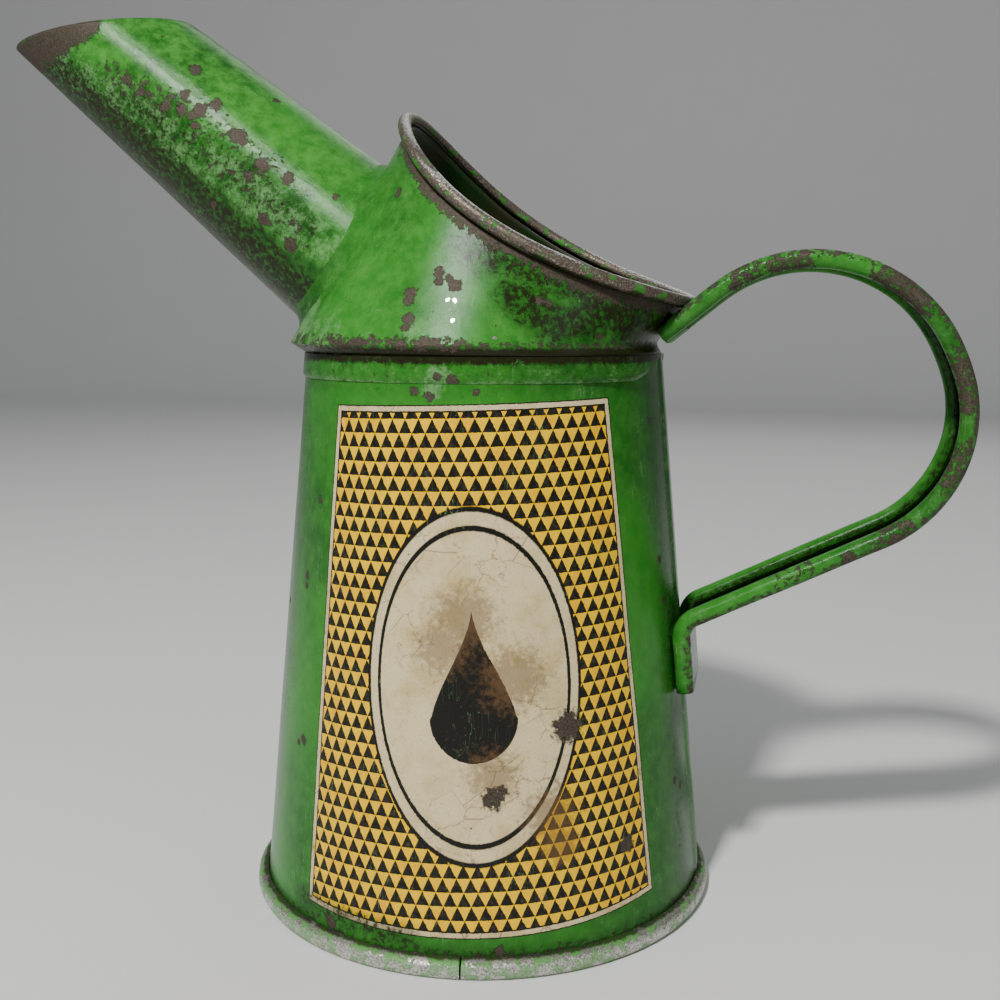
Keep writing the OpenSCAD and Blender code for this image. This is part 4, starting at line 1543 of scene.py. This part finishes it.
@dataclass
class Handle:
    """Strip with both edges curled in over wires, from under the mouth to the body."""

    mouth: Mouth
    width: float = 20.0
    edge_r: float = 2.05
    rise: float = 38.5
    lead: float = 7.1
    tuck: float = 7.5
    bends: tuple[tuple[float, float], ...] = ((31.2, 100.6), (45.0, 10.0), (28.0, 81.6))
    foot_bend: float = 5.0
    tab: float = 12.0
    end_gap: float = 3.2
    sheet: float = 0.45
    curl: float = 290.0
    step: float = 2.5
    curl_steps: int = 20
    web_steps: int = 10

    def path(self) -> list[Pose]:
        """Return the poses from the hood to the end of the tab."""
        turn = math.asin(self.width / self.mouth.width)
        rise = math.radians(self.rise)
        gap = self.mouth.bead_r + self.edge_r
        touch = self.mouth.edge(-turn) + gap * Vector((math.sin(rise), 0.0, -math.cos(rise)))
        start = Pose(touch.x, touch.z, self.rise).ahead(-self.tuck)
        poses = [start, start.ahead(self.tuck + self.lead)]
        for radius, angle in self.bends:
            poses += self.bend_row(poses[-1], radius, angle)
        lean = math.degrees(math.atan(FORM.slope()))
        foot_turn = -90.0 + lean - poses[-1].heading
        slope = FORM.slope()
        tab_x = math.sqrt((FORM.base_r + self.edge_r / math.cos(math.radians(lean))) ** 2 - (self.width / 2) ** 2)
        low = poses[-1]
        heading = math.radians(low.heading)
        meet = (low.x - tab_x + slope * low.z) / (-math.cos(heading) - slope * math.sin(heading))
        run = meet - self.foot_bend * math.tan(math.radians(foot_turn / 2))
        poses += [low.ahead(run * share / 10) for share in range(1, 11)]
        poses += self.bend_row(poses[-1], self.foot_bend, -foot_turn)
        last = poses[-1]
        return poses + [last.ahead(self.tab * share / 6) for share in range(1, 7)]

    def bend_row(self, start: Pose, radius: float, angle: float) -> list[Pose]:
        """Return poses every few degrees round a bend."""
        count = math.ceil(abs(angle) / self.step)
        return [start.bent(radius, angle * (i + 1) / count) for i in range(count)]

    def section(self) -> list[tuple[float, float]]:
        """Return the strip's outer line as distances out of the loop and across."""
        curls = []
        for side in (-1.0, 1.0):
            arc = []
            for i in range(self.curl_steps + 1):
                turn = math.radians(self.curl) * i / self.curl_steps
                arc.append((self.edge_r * math.cos(turn), side * (self.width / 2 + self.edge_r * math.sin(turn))))
            curls.append(arc)
        web = [(self.edge_r, self.width * (i / self.web_steps - 0.5)) for i in range(1, self.web_steps)]
        return curls[0][::-1] + web + curls[1]

    def build(self) -> list[Piece]:
        """Return the handle's strip."""
        tree = Hood(self.mouth).tree()
        poses = self.path()
        self.poses = poses
        section = self.section()
        first = []
        for out, across in section:
            outer, inner = poses[1].point(out, across), poses[0].point(out, across)
            hit = tree.ray_cast(outer * MM, (inner - outer).normalized(), 2 * (inner - outer).length * MM)[0]
            first.append(hit / MM if hit else inner)
        lead_rows = 8
        cut = self.end_gap / (self.tuck + self.lead)
        rows = [[start.lerp(poses[1].point(*uv), cut + (1.0 - cut) * i / lead_rows)
                 for start, uv in zip(first, section)] for i in range(lead_rows)]
        rows += [[pose.point(*uv) for uv in section] for pose in poses[1:]]
        columns = len(section) - 1

        def skin(u: float, v: float) -> Vector:
            """Return a point of the strip from its share across and along."""
            return rows[round(v * (len(rows) - 1))][round(u * columns)]

        bm = grown(skin, columns, len(rows) - 1)
        bmesh.ops.recalc_face_normals(bm, faces=bm.faces)
        bm.normal_update()
        crest = max(bm.faces, key=lambda face: face.calc_center_median().z)
        if crest.normal.z < 0:
            bmesh.ops.reverse_faces(bm, faces=bm.faces)
        bmesh.ops.subdivide_edges(bm, edges=[e for e in bm.edges if e.calc_length() > 2.2 * MM], cuts=1,
                                  use_grid_fill=True)
        dent(bm, 14.0, 0.18, 6.6)
        dent(bm, 3.0, 0.05, 1.2)
        piece = Piece(bm, "handle_sheet", "handle_paint").stands_for("handle_strip")
        chips = (Spot((91.0, -11.3, 85.4), 1.5), Spot((81.2, -11.6, 80.8), 1.5))
        piece.dressed(Enamel("handle_enamel", chips, (), (1.0, 1.0, 1.0), 0.45).build())
        piece.worn({Layer.SCUFF_AND_HIGHLIGHT: self.scuff_and_highlight, Layer.LOSS: self.loss, Layer.GRIME_AND_SHADE: self.grime_and_shade})
        return [piece.walled(self.sheet)]

    def outside(self, point: Vector) -> float:
        """Return how far a point lies out of the loop, from the path next to it."""
        pose = min(self.poses, key=lambda pose: (pose.x - point.x) ** 2 + (pose.z - point.z) ** 2)
        turn = math.radians(pose.heading)
        return (point.z - pose.z) * math.cos(turn) - (point.x - pose.x) * math.sin(turn)

    def on_edge(self, point: Vector) -> float:
        """Return 1 on the rolled edges and 0 in the channel between them."""
        return fade(abs(point.y), self.width / 2 - 2.2, self.width / 2 - 0.8)

    def scuff_and_highlight(self, point: Vector) -> float:
        """Return how scuffed the paint is at a point."""
        return 0.2 + 0.15 * self.on_edge(point)

    def loss(self, point: Vector) -> float:
        """Return how much paint is gone at a point."""
        spots = (
            Spot((57.8, -12.0, 139.5), 7.0, 0.7), Spot((66.7, -12.0, 142.1), 9.0, 0.72),
            Spot((89.4, -12.0, 136.4), 12.0, 0.8), Spot((103.0, -11.0, 118.0), 13.0, 0.75),
            Spot((104.0, -11.0, 100.0), 12.0, 0.7), Spot((91.0, -11.3, 85.4), 9.0, 0.68),
            Spot((70.0, -11.5, 78.0), 10.0, 0.55),
        )
        rubbed = 0.62 * self.on_edge(point) * fade(self.outside(point), -0.8, 1.2)
        return max(0.15, rubbed, strongest(spots, point))

    def grime_and_shade(self, point: Vector) -> float:
        """Return how much darker the paint is at a point, in the channel between the rolled edges."""
        return max(0.12, 0.6 * (1.0 - self.on_edge(point)))


@dataclass
class Studio:
    """Camera, soft lights and pale floor."""

    eye: Point = (61.85, -267.89, 129.50)
    pan: float = 0.21329
    pitch: float = 0.1462
    roll: float = 0.0034
    lens: float = 43.2
    floor: Colour = (0.80, 0.79, 0.77)
    floor_half: float = 4000.0
    wall_at: float = 1600.0
    wall_bend: float = 500.0

    def build(self) -> None:
        """Set the camera, the floor and the lights."""
        camera = bpy.data.cameras.new("camera")
        camera.lens = self.lens
        camera.sensor_width = 36.0
        camera.clip_start = 0.01
        holder = bpy.data.objects.new("camera", camera)
        turn = (Matrix.Rotation(self.pan, 4, "Z") @ Matrix.Rotation(math.pi / 2 - self.pitch, 4, "X")
                @ Matrix.Rotation(self.roll, 4, "Z"))
        holder.matrix_world = Matrix.Translation(Vector(self.eye) * MM) @ turn
        bpy.context.scene.collection.objects.link(holder)
        bpy.context.scene.camera = holder
        self.lay_floor()
        self.light("key", (-0.16, -0.68, 0.71), 1.1, 0.10, 13.5)
        self.light("left", (-0.85, -0.45, 0.35), 1.2, 0.6, 0.7)
        self.light("right", (0.80, -0.35, 0.45), 1.2, 0.4, 1.1)
        self.light("back", (0.10, 0.80, 0.60), 1.2, 0.8, 2.0)
        world = bpy.data.worlds.new("studio")
        world.use_nodes = True
        world.node_tree.nodes["Background"].inputs["Color"].default_value = (0.86, 0.90, 0.95, 1.0)
        world.node_tree.nodes["Background"].inputs["Strength"].default_value = 0.25
        bpy.context.scene.world = world

    def light(self, name: str, toward: Point, distance: float, size: float, power: float) -> None:
        """Hang one soft light that looks at the jug.

        Args:
            name: the light's name.
            toward: its direction from the jug.
            distance: how far it hangs, in metres.
            size: its width in metres.
            power: its strength in watts.
        """
        lamp = bpy.data.lights.new(name, "AREA")
        lamp.size = size
        lamp.energy = power
        holder = bpy.data.objects.new(name, lamp)
        middle = Vector((0.0, 0.0, 0.1))
        offset = Vector(toward).normalized() * distance
        holder.location = middle + offset
        holder.rotation_euler = (-offset).to_track_quat("-Z", "Y").to_euler()
        bpy.context.scene.collection.objects.link(holder)

    def lay_floor(self) -> None:
        """Lay the floor, which isn't part of the jug."""
        def sweep(u: float, v: float) -> Vector:
            """Return a point of the floor, which turns up behind the jug."""
            reach = self.floor_half * (2.0 * v - 1.0)
            over = max(reach - self.wall_at, 0.0) / self.wall_bend
            turn = min(over, math.pi / 2)
            straight = max(over - math.pi / 2, 0.0) * self.wall_bend
            back = min(reach, self.wall_at) + self.wall_bend * math.sin(turn)
            rise = self.wall_bend * (1.0 - math.cos(turn)) + straight
            return Vector((self.floor_half * (2.0 * u - 1.0), back, rise))

        bm = grown(sweep, 1, 120)
        bmesh.ops.recalc_face_normals(bm, faces=bm.faces)
        mesh = bpy.data.meshes.new("floor")
        bm.to_mesh(mesh)
        bm.free()
        mesh.shade_smooth()
        ground = bpy.data.objects.new("floor", mesh)
        bpy.context.scene.collection.objects.link(ground)
        painter = Painter("floor_paper")
        cloud = painter.noise(0.01, 3.0)
        tone = painter.mix(cloud, self.floor, tuple(0.97 * part for part in self.floor))
        mesh.materials.append(painter.finish(tone, 0.8, 0.0, painter.noise(0.6, 3.0), 0.02))


def redress(node: str, finish: bpy.types.Material) -> None:
    """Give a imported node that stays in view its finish."""
    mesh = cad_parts[node].data
    mesh.materials.clear()
    mesh.materials.append(finish)


INSIDE = Inside().build()


def main() -> None:
    """Build the jug piece by piece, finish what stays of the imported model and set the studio."""
    logging.basicConfig(level=logging.INFO, format="%(message)s")
    mouth = Mouth()
    for part in (Body(), FootRing(), Collar(), Hood(mouth), MouthBead(mouth), Spout(mouth), Handle(mouth)):
        for piece in part.build():
            LOG.info("%s: %s, %d faces", type(part).__name__, piece.object.name, len(piece.object.data.polygons))
    tin = BareSteel("dull_tin", (0.16, 0.15, 0.12), (0.42, 0.41, 0.36), 0.0, 0.8).build()
    solder = BareSteel("grey_solder", (0.045, 0.05, 0.03), (0.10, 0.12, 0.08), 0.8, 0.4).build()
    for node in ("base_disc", "mouth_wire", "handle_wires"):
        redress(node, tin)
    for node in ("handle_top_solder", "handle_foot_solder"):
        redress(node, solder)
    Studio().build()


if __name__ == "__main__":
    main()
